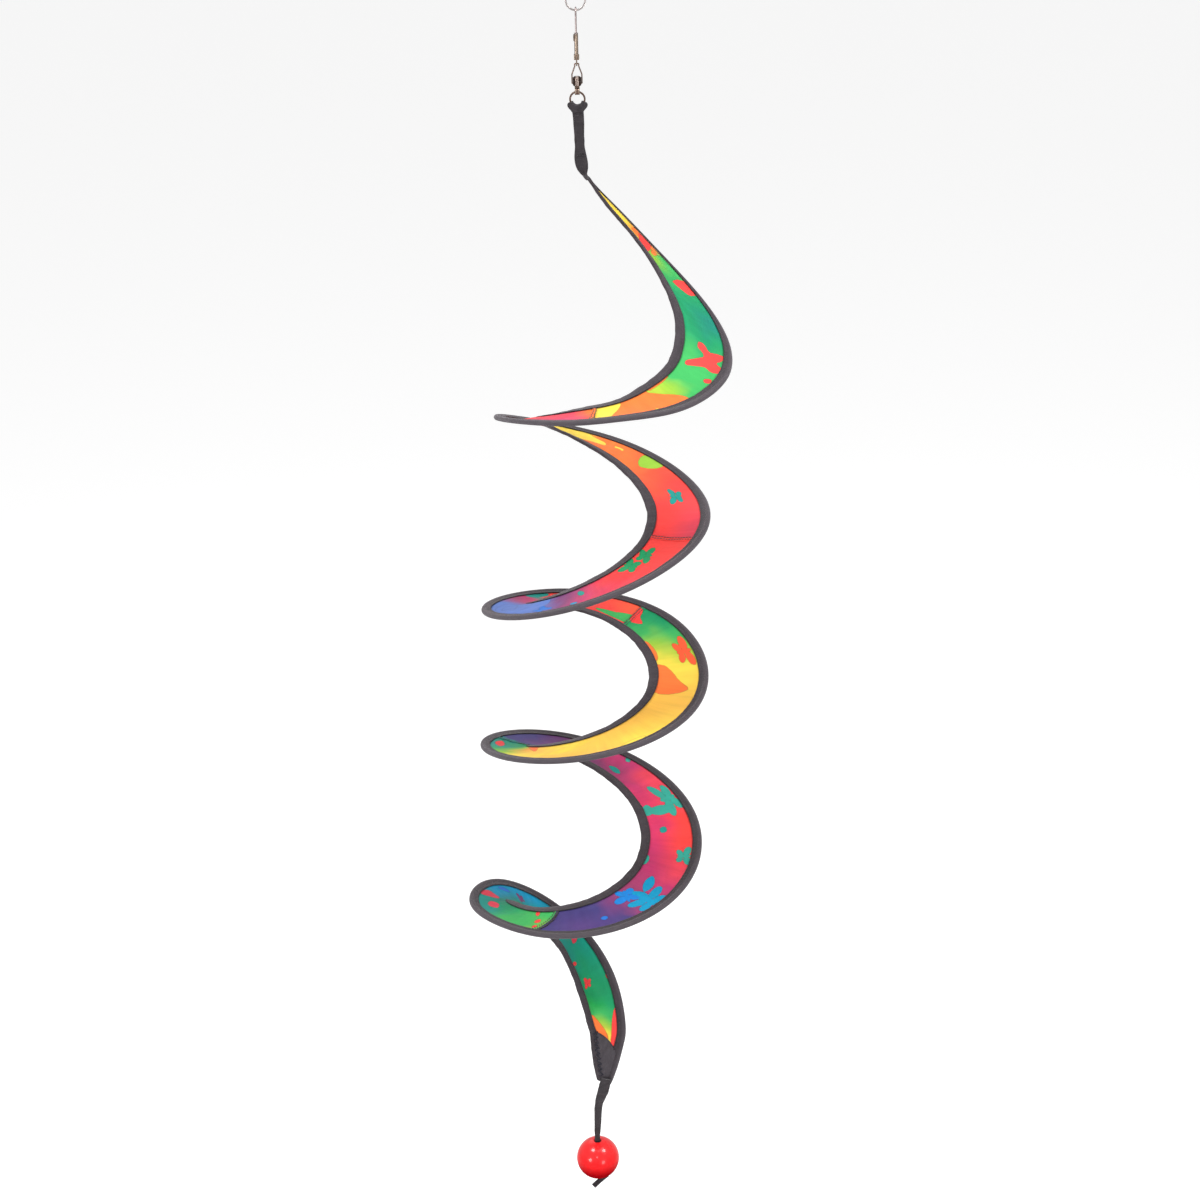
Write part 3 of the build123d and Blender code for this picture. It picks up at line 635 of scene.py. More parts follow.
# angle and colour of the wash along the outer side of the cloth
OUTER_WASH = [
    (-62, YELLOW), (-44, YELLOW), (-41, ORANGE), (-36, ORANGE), (-33, ORANGE), (-30, GREEN),
    (-22, GREEN), (-14, EMERALD), (-6, TEAL), (2, TEAL), (8, EMERALD), (22, GREEN), (44, GREEN),
    (52, LIME), (84, LIME), (90, YELLOW), (100, YELLOW), (100.1, ORANGE), (104, PINK),
    (118, MAGENTA), (132, PLUM), (158, CRIMSON), (190, DEEPRED), (225, ORANGE), (236, YELLOW),
    (262, YELLOW), (272, ORANGE), (284, ORANGE), (300, CORAL), (330, RED),
    (352, srgb(242, 74, 76)), (372, CRIMSON), (385.3, CRIMSON), (385.5, RED), (405, RED),
    (425, DEEPRED), (440, CRIMSON), (456, MAGENTA), (468, PURPLE), (492, LILAC), (530, LILAC),
    (560, LILAC), (574, PLUM), (588, MAGENTA), (596, SEA), (603, RED), (632, RED),
    (658, srgb(250, 96, 60)), (658.1, EMERALD), (672, EMERALD), (686, GREEN), (700, LIME),
    (716, YELLOW), (745, GOLD), (790, YELLOW), (805, GOLD), (835, GOLD), (858, YELLOW),
    (872, LIME), (884, GREEN), (900, SEA), (920, TEAL), (920.1, SEA), (926, INDIGO),
    (950, INDIGO), (975, PURPLE), (1000, MAGENTA), (1012, MAGENTA), (1024, PINK), (1044, PINK),
    (1068, RED), (1088, RED), (1106, PINK), (1120, MAGENTA), (1136, PLUM), (1148, INDIGO),
    (1166, srgb(88, 62, 128)), (1193, INDIGO), (1193.1, LIME), (1206, GREEN), (1218, GREEN),
    (1230, SEA), (1256, SEA), (1270, CYAN), (1308, CYAN), (1322, SEA), (1338, srgb(6, 152, 128)),
    (1352, srgb(8, 148, 112)), (1366, srgb(12, 140, 92)), (1378, EMERALD), (1390, GREEN),
    (1400, LIME), (1412, YELLOW), (1436, YELLOW),
]
# the same along the inner side
INNER_WASH = [
    (-62, YELLOW), (-40, YELLOW), (-33, LIME), (-26, LIME), (-20, GREEN), (-10, EMERALD),
    (8, EMERALD), (20, GREEN), (40, GREEN), (50, LIME), (64, srgb(196, 208, 60)), (80, YELLOW),
    (100, YELLOW), (100.1, ORANGE), (105, ORANGE), (114, PINK), (130, CRIMSON), (160, RED),
    (200, srgb(252, 104, 60)), (236, ORANGE), (262, ORANGE), (300, ORANGE),
    (318, srgb(252, 96, 60)), (345, RED), (372, RED), (385.3, DEEPRED), (385.5, RED), (412, RED),
    (436, DEEPRED), (448, CRIMSON), (462, PLUM), (476, PURPLE), (496, LILAC), (540, LILAC),
    (566, PLUM), (580, MAGENTA), (600, CRIMSON), (622, RED), (646, RED), (658, RED),
    (658.1, EMERALD), (674, GREEN), (690, LIME), (704, YELLOW), (730, YELLOW), (745, GOLD),
    (800, GOLD), (830, YELLOW), (860, GOLD), (875, srgb(250, 160, 60)), (886, LIME),
    (900, EMERALD), (920, EMERALD), (920.1, EMERALD), (930, INDIGO), (955, PURPLE),
    (985, PURPLE), (1010, PLUM), (1026, MAGENTA), (1050, srgb(222, 56, 100)),
    (1070, srgb(220, 54, 104)), (1092, srgb(206, 52, 106)), (1110, MAGENTA), (1132, PLUM),
    (1148, PURPLE), (1160, INDIGO), (1193, srgb(66, 54, 112)), (1193.1, GREEN), (1208, GREEN),
    (1226, EMERALD), (1250, TEAL), (1280, TEAL), (1310, EMERALD), (1322, SEA),
    (1342, srgb(6, 150, 122)), (1358, EMERALD), (1370, srgb(14, 146, 88)),
    (1380, srgb(24, 160, 74)), (1388, GREEN), (1394, LIME), (1406, YELLOW), (1436, YELLOW),
]


def wash_colour(wash, phi):
    angles = [row[0] for row in wash]
    colours = np.array([row[1] for row in wash])
    return np.stack([np.interp(phi, angles, colours[:, k]) for k in range(3)], -1)


def base_colour(phi, share):
    length, inset = arc(phi), share * width(phi)
    warp = 4.5 * noise2(length / 16.0, inset / 9.0, 21) + 2.0 * noise2(length / 6.0, inset / 6.0, 23)
    warp = warp * (0.12 + 0.88 * smooth(-30, 20, phi))
    # the wash stays within its own panel
    limits = np.array([CLOTH_START] + SEAMS + [1440.0])
    straight = phi - lean(SLANTED, share) * (np.abs(phi - SEAMS[SLANTED]) < 30)
    k = np.clip(np.searchsorted(limits, straight, side="right") - 1, 0, len(limits) - 2)
    warped = np.clip(phi + warp, limits[k] + 0.3, limits[k + 1] - 0.3)
    inner = smooth(0.25, 0.75, share + 0.10 * noise2(length / 11.0, inset / 30.0, 25))[..., None]
    return wash_colour(OUTER_WASH, warped) * (1 - inner) + wash_colour(INNER_WASH, warped) * inner


# The printed shapes below return signed distances, negative inside.
def turned(x, y, degrees):
    """Coordinates in axes turned by an angle."""
    cos, sin = math.cos(math.radians(degrees)), math.sin(math.radians(degrees))
    return x * cos + y * sin, -x * sin + y * cos


def dot(x, y, radii, turn=0.0):
    """Ellipse."""
    along, across = turned(x, y, turn)
    ratio = np.sqrt((along / radii[0]) ** 2 + (across / radii[1]) ** 2)
    slope = np.sqrt((along / radii[0] ** 2) ** 2 + (across / radii[1] ** 2) ** 2)
    return np.where(slope > 1e-9, ratio * (ratio - 1) / np.maximum(slope, 1e-9), -min(radii))


def wings(x, y, size, turn):
    """Butterfly of four rounded wings and a body, given its span and height."""
    x, y = turned(x, y, turn)
    x, y = x / size[0], y / size[1]
    distance = dot(x, y, (0.085, 0.36))
    for k in (-1, 1):
        distance = np.minimum(distance, dot(x - 0.27 * k, y - 0.17, (0.27, 0.18), 30 * k))
        distance = np.minimum(distance, dot(x - 0.19 * k, y + 0.22, (0.20, 0.15), -38 * k))
    return distance * math.sqrt(size[0] * size[1])


def leaf(x, y, size, turn):
    """Pointed leaf between two arcs, given its half length and half width."""
    along, across = turned(x, y, turn)
    radius = (size[0] ** 2 + size[1] ** 2) / (2 * size[1])
    return np.sqrt(along**2 + (np.abs(across) + radius - size[1]) ** 2) - radius


def polygon(x, y, corners):
    squared = np.full(x.shape, 1e9)
    sign = np.ones(x.shape)
    for i, here in enumerate(corners):
        edge = corners[i - 1] - here
        dx, dy = x - here[0], y - here[1]
        share = np.clip((dx * edge[0] + dy * edge[1]) / max(edge @ edge, 1e-9), 0, 1)
        squared = np.minimum(squared, (dx - edge[0] * share) ** 2 + (dy - edge[1] * share) ** 2)
        above, below = y >= here[1], y < corners[i - 1][1]
        left = edge[0] * dy > edge[1] * dx
        crossed = (above & below & left) | (~above & ~below & ~left)
        sign = np.where(crossed, -sign, sign)
    return sign * np.sqrt(squared)


# Corners are (angle, share of the width).
LOWER_SHAPES = [
    (polygon, ORANGE, [(-42, 0), (-34, 0), (-35, 0.30), (-37, 0.52), (-40, 0.46), (-41.5, 0.30)]),
    (polygon, ORANGE, [
        (46.5, -0.1), (47, 0.18), (48.5, 0.34), (52, 0.48), (58, 0.66), (63, 0.80), (58, 1.1),
        (84, 1.1), (82, 0.80), (86, 0.62), (89, 0.46), (91, 0.24), (90, -0.1)]),
    (polygon, ORANGE, [(41, 0.82), (50, 0.79), (62, 0.79), (64, 1.1), (38, 1.1)]),
    (polygon, YELLOW, [
        (234, -0.1), (236, 0.5), (245, 0.62), (256, 0.66), (264, 0.58), (275, 0.54), (275, 0.34),
        (266, 0.30), (262, 0.12), (262, -0.1)]),
    (polygon, LILAC, [
        (486, 0.3), (500, 0.2), (540, 0.25), (556, 0.4), (550, 0.8), (520, 1.1), (494, 1.1),
        (484, 0.7)]),
    (polygon, ORANGE, [
        (709, 1.1), (710, 0.74), (717, 0.62), (726, 0.50), (734, 0.28), (737, 0.42), (741, 0.66),
        (742, 1.1)]),
    (polygon, ORANGE, [(676, 1.1), (682, 0.80), (694, 0.76), (706, 0.80), (712, 1.1)]),
    (polygon, GREEN, [
        (631, 0.68), (638, 0.62), (646, 0.60), (652, 0.50), (660, 0.44), (660, 0.76),
        (646, 0.80), (634, 0.76)]),
    (polygon, ORANGE, [
        (856, 0.62), (868, 0.74), (884, 0.84), (884, 1.1), (850, 1.1), (862, 0.84)]),
    (polygon, RED, [
        (1379, -0.1), (1381, 0.12), (1385, 0.26), (1393, 0.36), (1408, 0.40), (1430, 0.36),
        (1430, -0.1)]),
    (polygon, ORANGE, [
        (1383, 1.1), (1385, 0.82), (1391, 0.70), (1400, 0.58), (1412, 0.47), (1426, 0.42),
        (1428, 1.1)]),
]
# Other shapes have their centre (angle, share of the width), size in mm and turn in degrees.
UPPER_SHAPES = [
    (polygon, RED, [
        (-41, 0.02), (-36, 0.02), (-32, 0.40), (-27, 0.92), (-33, 0.92), (-36, 0.50)]),
    (polygon, ORANGE, [(-33, 0.22), (-30.5, 0.26), (-29, 0.50), (-30.5, 0.52)]),
    (polygon, RED, [
        (-21.5, 0.10), (-16, 0.10), (-14, 0.34), (-15.5, 0.48), (-17.5, 0.62), (-19, 0.50),
        (-20.5, 0.34)]),
    (polygon, RED, [
        (11, 0.13), (14.5, 0.17), (17, 0.27), (18.5, 0.15), (22.5, 0.15), (24, 0.28),
        (22.6, 0.40), (25, 0.55), (28, 0.72), (25, 0.75), (21, 0.62), (17, 0.47), (15, 0.51),
        (13.5, 0.62), (10, 0.60), (9.5, 0.50), (13, 0.40), (11.5, 0.28)]),
    (polygon, RED, [(28, 0.19), (31, 0.17), (32.5, 0.26), (31, 0.31), (29, 0.28)]),
    (polygon, YELLOW, [(63.5, 0.08), (68.5, 0.08), (68, 0.20), (65.5, 0.24)]),
    (polygon, YELLOW, [
        (280, 0.33), (283, 0.30), (287, 0.33), (287, 0.42), (284, 0.38), (281, 0.42)]),
    (polygon, LIME, [
        (298, 0.14), (298, 0.32), (301, 0.50), (305, 0.58), (309, 0.50), (312, 0.34),
        (312, 0.14)]),
    (wings, SEA, (341.5, 0.46), (15, 11.5), 12), (wings, DARKGREEN, (406, 0.70), (17, 13), 160),
    (wings, DARKGREEN, (420, 0.72), (17, 15), -20), (wings, BLUE, (483, 0.36), (13, 12), 30),
    (dot, CYAN, (462, 0.30), (2.6, 1.8), 20), (dot, SEA, (459, 0.66), (4, 2.2), 60),
    (dot, LILAC, (530, 0.50), (16, 5), 10), (dot, SEA, (594, 0.20), (8, 3.5), 0),
    (polygon, RED, [
        (658, 0.20), (661, 0.24), (662, 0.42), (668, 0.52), (664, 0.62), (660, 0.66),
        (658, 0.58)]),
    (wings, srgb(244, 92, 52), (702, 0.31), (25, 13.5), 178),
    (dot, YELLOW, (788, 0.20), (7, 2.6), 0), (leaf, DEEPRED, (906, 0.33), (10, 3.2), -6),
    (dot, SEA, (923, 0.5), (4, 5.5), 0),
    (polygon, MINT, [(1011, 0.10), (1014, 0.10), (1015, 0.24), (1012, 0.26)]),
    (leaf, SEA, (1011, 0.62), (5.4, 3), 6), (wings, MINT, (1049, 0.31), (28, 17), -8),
    (leaf, MINT, (1057, 0.56), (11.5, 4.2), 86), (leaf, MINT, (1056, 0.78), (6, 4), 20),
    (leaf, SEA, (1074, 0.62), (3.4, 2.4), 30), (wings, MINT, (1093.5, 0.26), (14, 13.5), 170),
    (dot, MINT, (1103, 0.86), (5.5, 2.6), 0), (wings, CYAN, (1131, 0.30), (25, 17), 8),
    (wings, AZURE, (1137, 0.66), (19, 16), 200), (leaf, CYAN, (1121, 0.56), (8, 3.6), -14),
    (leaf, CYAN, (1131, 0.50), (7.5, 3.6), 80), (dot, BLUE, (1157, 0.42), (2.3, 2), 0),
    (dot, RED, (1196, 0.30), (1.6, 2.4), 0), (dot, RED, (1197, 0.52), (1.8, 2.6), 30),
    (dot, RED, (1201, 0.78), (3.4, 1.8), 60), (leaf, CRIMSON, (1241, 0.50), (7, 3.6), -8),
    (polygon, CRIMSON, [
        (1256, 0.22), (1262, 0.14), (1266, 0.30), (1266, 0.55), (1262, 0.62), (1257, 0.56)]),
    (dot, BLUE, (1282, 0.30), (5, 2), 20), (wings, PURPLE, (1294, 0.42), (8, 8), 80),
    (leaf, CRIMSON, (1336, 0.36), (5.4, 2.4), 78), (dot, RED, (1365, 0.17), (1.9, 1.2), 0),
    (wings, DEEPRED, (1364, 0.68), (8.4, 7.6), 15),
    (dot, DEEPRED, (1347, 0.80), (1.7, 2.2), 30),
]


def shape_layer(shapes, phi, share):
    """Colour of the nearest printed shape of a layer, and its signed distance."""
    length, inset = arc(phi), share * width(phi)
    nearest = np.full(phi.shape, 50.0)
    colour = np.zeros(phi.shape + (3,))
    for kind, ink, place, *form in shapes:
        place = np.array(place, float)
        centre = place[:, 0].mean() if kind is polygon else place[0]
        near = np.flatnonzero(np.abs(phi - centre) < 45)
        if not len(near):
            continue
        x, y = length[near], inset[near]
        if kind is polygon:
            # corners follow the band's own width and are softened by points along the edges
            corners = np.stack([arc(place[:, 0]), place[:, 1] * width(place[:, 0])], 1)
            ends = np.roll(corners, -1, axis=0)
            softened = [a + (b - a) * f for a, b in zip(corners, ends) for f in (0.2, 0.5, 0.8)]
            distance = polygon(x, y, softened)
        else:
            distance = kind(x - arc(centre), y - place[1] * width(centre), *form)
        closer = distance < nearest[near]
        nearest[near[closer]] = distance[closer]
        colour[near[closer]] = ink
    return colour, nearest


def print_attributes(phi, inset):
    """Colour and scalar attributes that the cloth material reads."""
    wide, length = width(phi), arc(phi)
    share = inset / wide
    lower, lower_distance = shape_layer(LOWER_SHAPES, phi, share)
    upper, upper_distance = shape_layer(UPPER_SHAPES, phi, share)
    # darker beside the tapes and the seams
    clear = np.minimum(inset - leg(phi, "out"), wide - leg(phi, "in") - inset)
    shade = 0.50 + 0.50 * smooth(0.0, 0.75, clear) * (0.4 + 0.6 * smooth(-60, -20, phi))
    shade = shade + 0.30 * smooth(-20, -60, phi)
    for k in range(len(SEAMS)):
        shade = shade * (1 - 0.30 * np.exp(-((length - seam_arc(k, share)) ** 2)))
    return (
        {"base": base_colour(phi, share), "col_a": lower, "col_b": upper},
        {"dist_a": lower_distance, "dist_b": upper_distance, "shade": shade},
    )


def cloth_sheet(name, phi, inset, lift, thick, material):
    """Printed sheet over a grid of angles and insets, lifted off the cloth's surface."""
    height = cloth_height(phi, inset) + lift
    colours, scalars = print_attributes(phi.ravel(), inset.ravel())
    return build_slab(
        name, point(phi, inset, height + thick / 2), point(phi, inset, height - thick / 2),
        np.stack([arc(phi).ravel(), inset.ravel()], 1), material, scalars, colours)


def add_panel(k):
    """Cloth from seam k - 1 to seam k, or to an end of the cloth."""
    last = k == len(SEAMS)
    gap = 0.25  # degrees between a panel and its seam
    first = SEAMS[k - 1] + gap if k else CLOTH_START
    final = END_OUT + 5 if last else SEAMS[k] - gap
    across = np.linspace(0, 1, 38)
    start = first + lean(k - 1, 0.06 + 0.92 * across)
    stop = end_line(0.1 + 0.8 * across) + 5.0 if last else final + lean(k, 0.06 + 0.92 * across)
    along = np.linspace(0, 1, int((final - first) / 0.62))[:, None]
    phi = start + along * (stop - start)
    outer = 2 * nose_radius(phi) + 0.1
    inset = outer + across * (width(phi) - 0.9 - outer)
    panel = cloth_sheet("cloth_%d" % (k + 1), phi, inset, 0.0, 0.26, CLOTHS[k])
    attach_band(panel, "panel_%d" % (k + 1))


for k in range(6):
    add_panel(k)


# ------------------------------------------------------------------ stitches and seams
# share of the stitch length, lift and thickness in thread radii: both ends dive in
STITCH_PROFILE = np.array([
    (-0.52, -1.6, 0.55), (-0.44, -0.5, 0.85), (-0.22, 0.25, 1.0), (0.0, 0.42, 1.05),
    (0.22, 0.25, 1.0), (0.44, -0.5, 0.85), (0.52, -1.6, 0.55),
])


def build_stitches(name, stitches, material=THREAD):
    """One mesh from stitches of (centre, direction, normal, length, thread radius)."""
    centre, tangent, normal, length, radius = (np.array(part) for part in zip(*stitches))
    length, radius = length[:, None, None], radius[:, None, None]
    tangent = tangent / np.linalg.norm(tangent, axis=1)[:, None]
    normal = normal - tangent * (normal * tangent).sum(1)[:, None]
    normal = normal / np.linalg.norm(normal, axis=1)[:, None]
    side = np.cross(tangent, normal)
    share, lift, thick = STITCH_PROFILE.T[:, None, :, None]
    middle = (
        centre[:, None] + tangent[:, None] * (share * length) + normal[:, None] * (lift * radius))
    rings, points = len(STITCH_PROFILE), 6
    angle = (np.arange(points) * 2 * math.pi / points)[None, None, :, None]
    around = side[:, None, None] * np.cos(angle) + normal[:, None, None] * np.sin(angle)
    verts = middle[:, :, None] + around * (thick[..., None] * radius[..., None])
    one = ring_faces(rings, points)
    faces = [
        [c + i * rings * points for c in face] for i in range(len(stitches)) for face in one]
    uv = np.tile(grid_uv(np.arange(rings) * 0.4, np.arange(points) * 0.15), (len(stitches), 1))
    return build(name, verts.reshape(-1, 3), faces, uv, material)


def chained(points, normals, share, radius):
    """Stitches from each point towards the next, each filling a share of the gap."""
    return [
        ((a + b) / 2, b - a, normal, np.linalg.norm(b - a) * share, radius)
        for a, b, normal in zip(points, points[1:], normals)
    ]


def seam_row(k, offset, up):
    """Straight row of stitches across the band, beside seam k."""
    pitch, length, radius = 1.9, 1.85, 0.36 if k == SLANTED else 0.27
    wide = width(SEAMS[k])
    inset = np.arange(5.0 + pitch / 2, wide - 5.0, pitch)
    phi = phi_at(seam_arc(k, inset / wide) + offset + 0.22 * noise1(inset / 3.0, 52 + k))
    points = point(phi, inset, cloth_height(phi, inset) + up * 0.58)
    axes = zip(points, interpolated(phi, INWARD), interpolated(phi, NORMALS) * up)
    return [(*place, length, radius) for place in axes]


def add_seams():
    """Lapped strips over and under each seam, with their threads."""
    lap, edge = 3.4, 0.5
    stitches = []
    across, along = np.linspace(0, 1, 30), np.linspace(0, 1, 9)[:, None]
    for k, angle in enumerate(SEAMS):
        wide = width(angle)
        inset = np.repeat((4.6 + across * (wide - 9.2))[None], 9, 0)
        for up, side in ((1, "top"), (-1, "under")):
            start = -edge if up > 0 else edge - lap
            jag = 0.22 * noise1(inset / 2.4, 60 + k)
            phi = phi_at(seam_arc(k, inset / wide) + start + along * lap + jag)
            ridge = 0.17 + 0.34 * np.sin(math.pi * along) ** 0.6
            lift = up * (0.08 + ridge + 0.07 * noise2(inset / 2.0, along * 3.0, 61 + k))
            cloth = CLOTHS[k + 1 if up > 0 else k]
            attach_band(cloth_sheet("seam_%d_%s" % (k + 1, side), phi, inset, lift, 0.2, cloth))
            for row in (0.55, 2.4):
                stitches += seam_row(k, up * (row - edge), up)
    # the slanted seam is also sewn over in a zigzag
    wide = width(SEAMS[SLANTED])
    inset = np.arange(5.2, wide - 5.0, 0.85)
    phi = phi_at(seam_arc(SLANTED, inset / wide) - 2.2 + 1.5 * (np.arange(len(inset)) % 2))
    for up in (1, -1):
        points = point(phi, inset, cloth_height(phi, inset) + up * 0.5)
        stitches += chained(points, interpolated(phi, NORMALS) * up, share=1.0, radius=0.32)
    attach_band(build_stitches("seam_thread", stitches))


add_seams()


# ------------------------------------------------------------------ edge tapes
def build_ribbon(name, phi, contour, side):
    """Folded tape from its outside contours (inset, height), one for each angle."""
    count, size = contour.shape[:2]
    tangent = np.gradient(contour, axis=1)
    tangent /= np.linalg.norm(tangent, axis=2)[..., None] + 1e-12
    normal = np.stack([-tangent[..., 1], tangent[..., 0]], -1)
    loop = np.concatenate([contour, (contour - normal * TAPE_THICK)[:, ::-1]], 1)
    grid = np.repeat(phi[:, None], 2 * size, 1)
    faces = [list(quad) for quad in grid_faces(count, 2 * size, wrap_cols=True)]
    for base, order in ((0, -1), ((count - 1) * 2 * size, 1)):
        for j in range(size - 1):
            cap = [base + j, base + j + 1, base + 2 * size - 2 - j, base + 2 * size - 1 - j]
            faces.append(cap[::order])
    steps = np.linalg.norm(np.diff(loop, axis=1), axis=2)
    around = np.concatenate([np.zeros((count, 1)), np.cumsum(steps, axis=1)], 1)
    outside, total = around[:, :size], around[:, size - 1 : size]
    near = np.minimum(outside, total - outside)
    # rim carries painted shade along both edges where the tape meets the cloth; crest carries a painted
    # highlight along the fold, weaker on the inner tape
    rim = np.exp(-((near / 0.50) ** 2)) * np.clip(total / 9.0, 0.25, 1)
    crest = np.exp(-(((outside - total / 2) / np.minimum(3.4, 0.3 * total)) ** 4))
    if side == "in":
        crest = crest * 0.25
    rim, crest = (np.concatenate([a, a[:, ::-1]], 1).ravel() for a in (rim, crest))
    uv = np.stack([arc(grid, side), around], -1).reshape(-1, 2)
    verts = point(grid, loop[..., 0], loop[..., 1]).reshape(-1, 3)
    return build(name, verts, faces, uv, EDGE_TAPE, {"rim": rim, "nose": crest})


def edge_wobble(phi, side, row):
    length = arc(phi, side)
    wobble = 0.16 * noise1(length / 9.0, row) + 0.07 * noise1(length / 2.7, row + 1)
    return wobble * np.minimum(1, leg(phi, side) / 4)


def outer_contour(phi):
    """Upper leg, round nose, lower leg."""
    length = arc(phi, "out")
    radius = nose_radius(phi) * (1 + 0.012 * noise1(length / 4.0, 38))
    flat = np.minimum(0.60, radius * 0.9)
    # both legs dip where each stitch pulls them onto the cloth
    pull = 0.09 * np.cos(length * 2 * math.pi / 3.0)
    low = 0.055 * noise1(length / 5.0, 33)

    def leg_points(sign, row):
        start = 2 * radius * 0.93
        end = np.maximum(leg(phi, "out") + edge_wobble(phi, "out", row), 2 * radius + 0.25)
        rows = [
            (1.0, sign * (flat - 0.13) + low),
            (0.93, sign * flat + low),
            (0.76, sign * (flat + pull * 0.6) + low),
            (0.58, sign * (flat - 0.02 + pull) + low),
            (0.40, sign * (flat + 0.05 + pull * 0.6) + low),
            (0.20, sign * (flat + 0.10) + low * 0.5),
            (0.03, sign * (flat + 0.30 * (radius - flat) + 0.06)),
        ]
        return [(start + (end - start) * share, height) for share, height in rows]

    nose = [
        (radius + radius * math.cos(a), radius * math.sin(a))
        for a in np.radians(np.arange(62, 299, 16.0))
    ]
    return np.moveaxis(np.array(leg_points(1, 34) + nose + leg_points(-1, 36)[::-1]), 2, 0)


def inner_contour(phi):
    """Lower leg, blunt fold, upper leg."""
    length, wide, reach = arc(phi, "in"), width(phi), leg(phi, "in")
    low = 0.10 * noise1(length / 3.6, 43)
    pull = 0.09 * np.cos(length * 2 * math.pi / 2.8)
    full = 0.10 * noise1(length / 2.3, 46)
    push = 0.24 * noise1(length / 6.5, 44) + 0.14 * noise1(length / 2.9, 45)
    tip = wide + push * smooth(4, 16, wide)
    scale = np.maximum(reach - 0.75, 0.2) / 5.25
    radius = np.minimum(0.72, 0.45 * reach)

    def leg_points(sign, row):
        start = wide - reach
        end = start - edge_wobble(phi, "in", row)
        return [
            (end, sign * 0.47 + low),
            (end + 0.35 * scale, sign * 0.60 + low),
            (start + 1.0 * scale, sign * (0.60 + pull * 0.6) + low),
            (start + 1.5 * scale, sign * (0.58 + pull) + low),
            (start + 2.1 * scale, sign * (0.66 + pull * 0.6) + low),
            (start + 3.3 * scale, sign * (0.72 + full) + low),
            (start + 4.6 * scale, sign * (0.73 + full) + low),
        ]

    fold = [
        (tip - radius + radius * math.cos(a), (0.72 + full) * math.sin(a) + low)
        for a in np.radians([66, 40, 14, -14, -40, -66])
    ]
    points = leg_points(1, 47) + fold + leg_points(-1, 49)[::-1]
    return np.moveaxis(np.array(points[::-1]), 2, 0)


def tape_angles(side, step):
    return phi_at(np.arange(arc(TAPE_START, side), arc(TAPE_END, side), step), side)


angles = tape_angles("out", 0.95)
attach_band(build_ribbon("tape_outer", angles, outer_contour(angles), "out"),
            "outer_binding")
angles = tape_angles("in", 0.75)
attach_band(build_ribbon("tape_inner", angles, inner_contour(angles), "in"),
            "inner_binding")


def add_edge_stitches(name, side, first, last, pitch, length, height, jitter, row):
    """Rows of stitches along a tape, on the upper and the lower leg."""
    along = np.arange(arc(first, side) + pitch / 2, arc(last, side), pitch)
    phi = phi_at(along + pitch * jitter * noise1(along * 7.7, row), side)
    stitches = []
    for up in (1, -1):

        def on_leg(angle):
            depth = 0.75 * leg(angle, side)
            return point(angle, depth if side == "out" else width(angle) - depth, up * height)

        axes = zip(on_leg(phi), on_leg(phi + 0.3) - on_leg(phi - 0.3),
                   interpolated(phi, NORMALS) * up)
        stitches += [(*place, length, 0.17) for place in axes]
    attach_band(build_stitches(name, stitches))


add_edge_stitches("stitch_outer", "out", first=-34, last=1424, pitch=3.0, length=2.25,
                  height=0.68, jitter=0.04, row=40)
add_edge_stitches("stitch_inner", "in", first=-52, last=1404, pitch=2.8, length=2.1,
                  height=0.70, jitter=0.05, row=41)

# ------------------------------------------------------------------ spreader rod
angles = np.arange(-56.0, 1424.0, 1.5)
radii = np.minimum(0.75, nose_radius(angles) - 0.38)
rod_parts = sweep(
    point(angles, nose_radius(angles), 0), radii[:, None, None] * circle(1.0, 10), (0, 0, 1))
attach_band(build("rod", *rod_parts, ROD_FIBRE), "spreader_rod")


# ------------------------------------------------------------------ end patch
def add_patch():
    outer, overhang = 2.9, 0.12  # inset of its outer edge, and reach past the inner edge
    along, across = np.linspace(0, 1, 64)[:, None], np.linspace(0, 1, 30)
    first = end_line(0.08 + 0.9 * across) - 0.6
    phi = first + along * (1455.5 - first)
    wide, length = width(phi) + overhang, arc(phi)
    inset = outer + across * (wide - outer)
    edge = np.minimum(smooth(0, 0.9, inset - outer), smooth(0, 0.8, wide - inset))
    ends = np.minimum(smooth(0, 0.05, along), smooth(1, 0.97, along))
    full = 0.78 + 0.06 * noise2(length / 3.2, inset / 3.0, 17)
    half = 0.10 + full * edge * (0.35 + 0.65 * ends)
    lift = 0.16 * noise2(length / 7.0, inset / 6.0, 18) * edge
    patch = build_slab(
        "patch", point(phi, inset, lift + half), point(phi, inset, lift - half),
        np.stack([length.ravel(), inset.ravel()], 1), PATCH_TWILL)
    attach_band(patch, "end_patch")


def add_patch_stitches():
    stitches = []
    along = np.arange(arc(1405.0, "in"), arc(1451.0, "in"), 1.85)
    phi = phi_at(along, "in")
    swing = 1.8 * np.where(np.arange(len(along)) % 2, 1, -1) + 0.15 * noise1(along, 19)
    share = np.linspace(0.2, 0.78, 13)
    line_phi = end_line(share) + 1.6
    for up in (1, -1):
        # a zigzag along the inner edge
        points = point(phi, width(phi) - 4.2 + swing, up * 1.14)
        stitches += chained(points, interpolated(phi, NORMALS) * up, share=1.0, radius=0.40)
        # a straight line holds the patch to the end of the cloth
        points = point(line_phi, share * width(line_phi), up * 0.98)
        normals = interpolated(line_phi, NORMALS) * up
        stitches += chained(points, normals, share=0.78, radius=0.17)
    thread = thread_material("blue_black_thread", (4, 2, 22))
    attach_band(build_stitches("stitch_patch", stitches, thread))


add_patch()
add_patch_stitches()


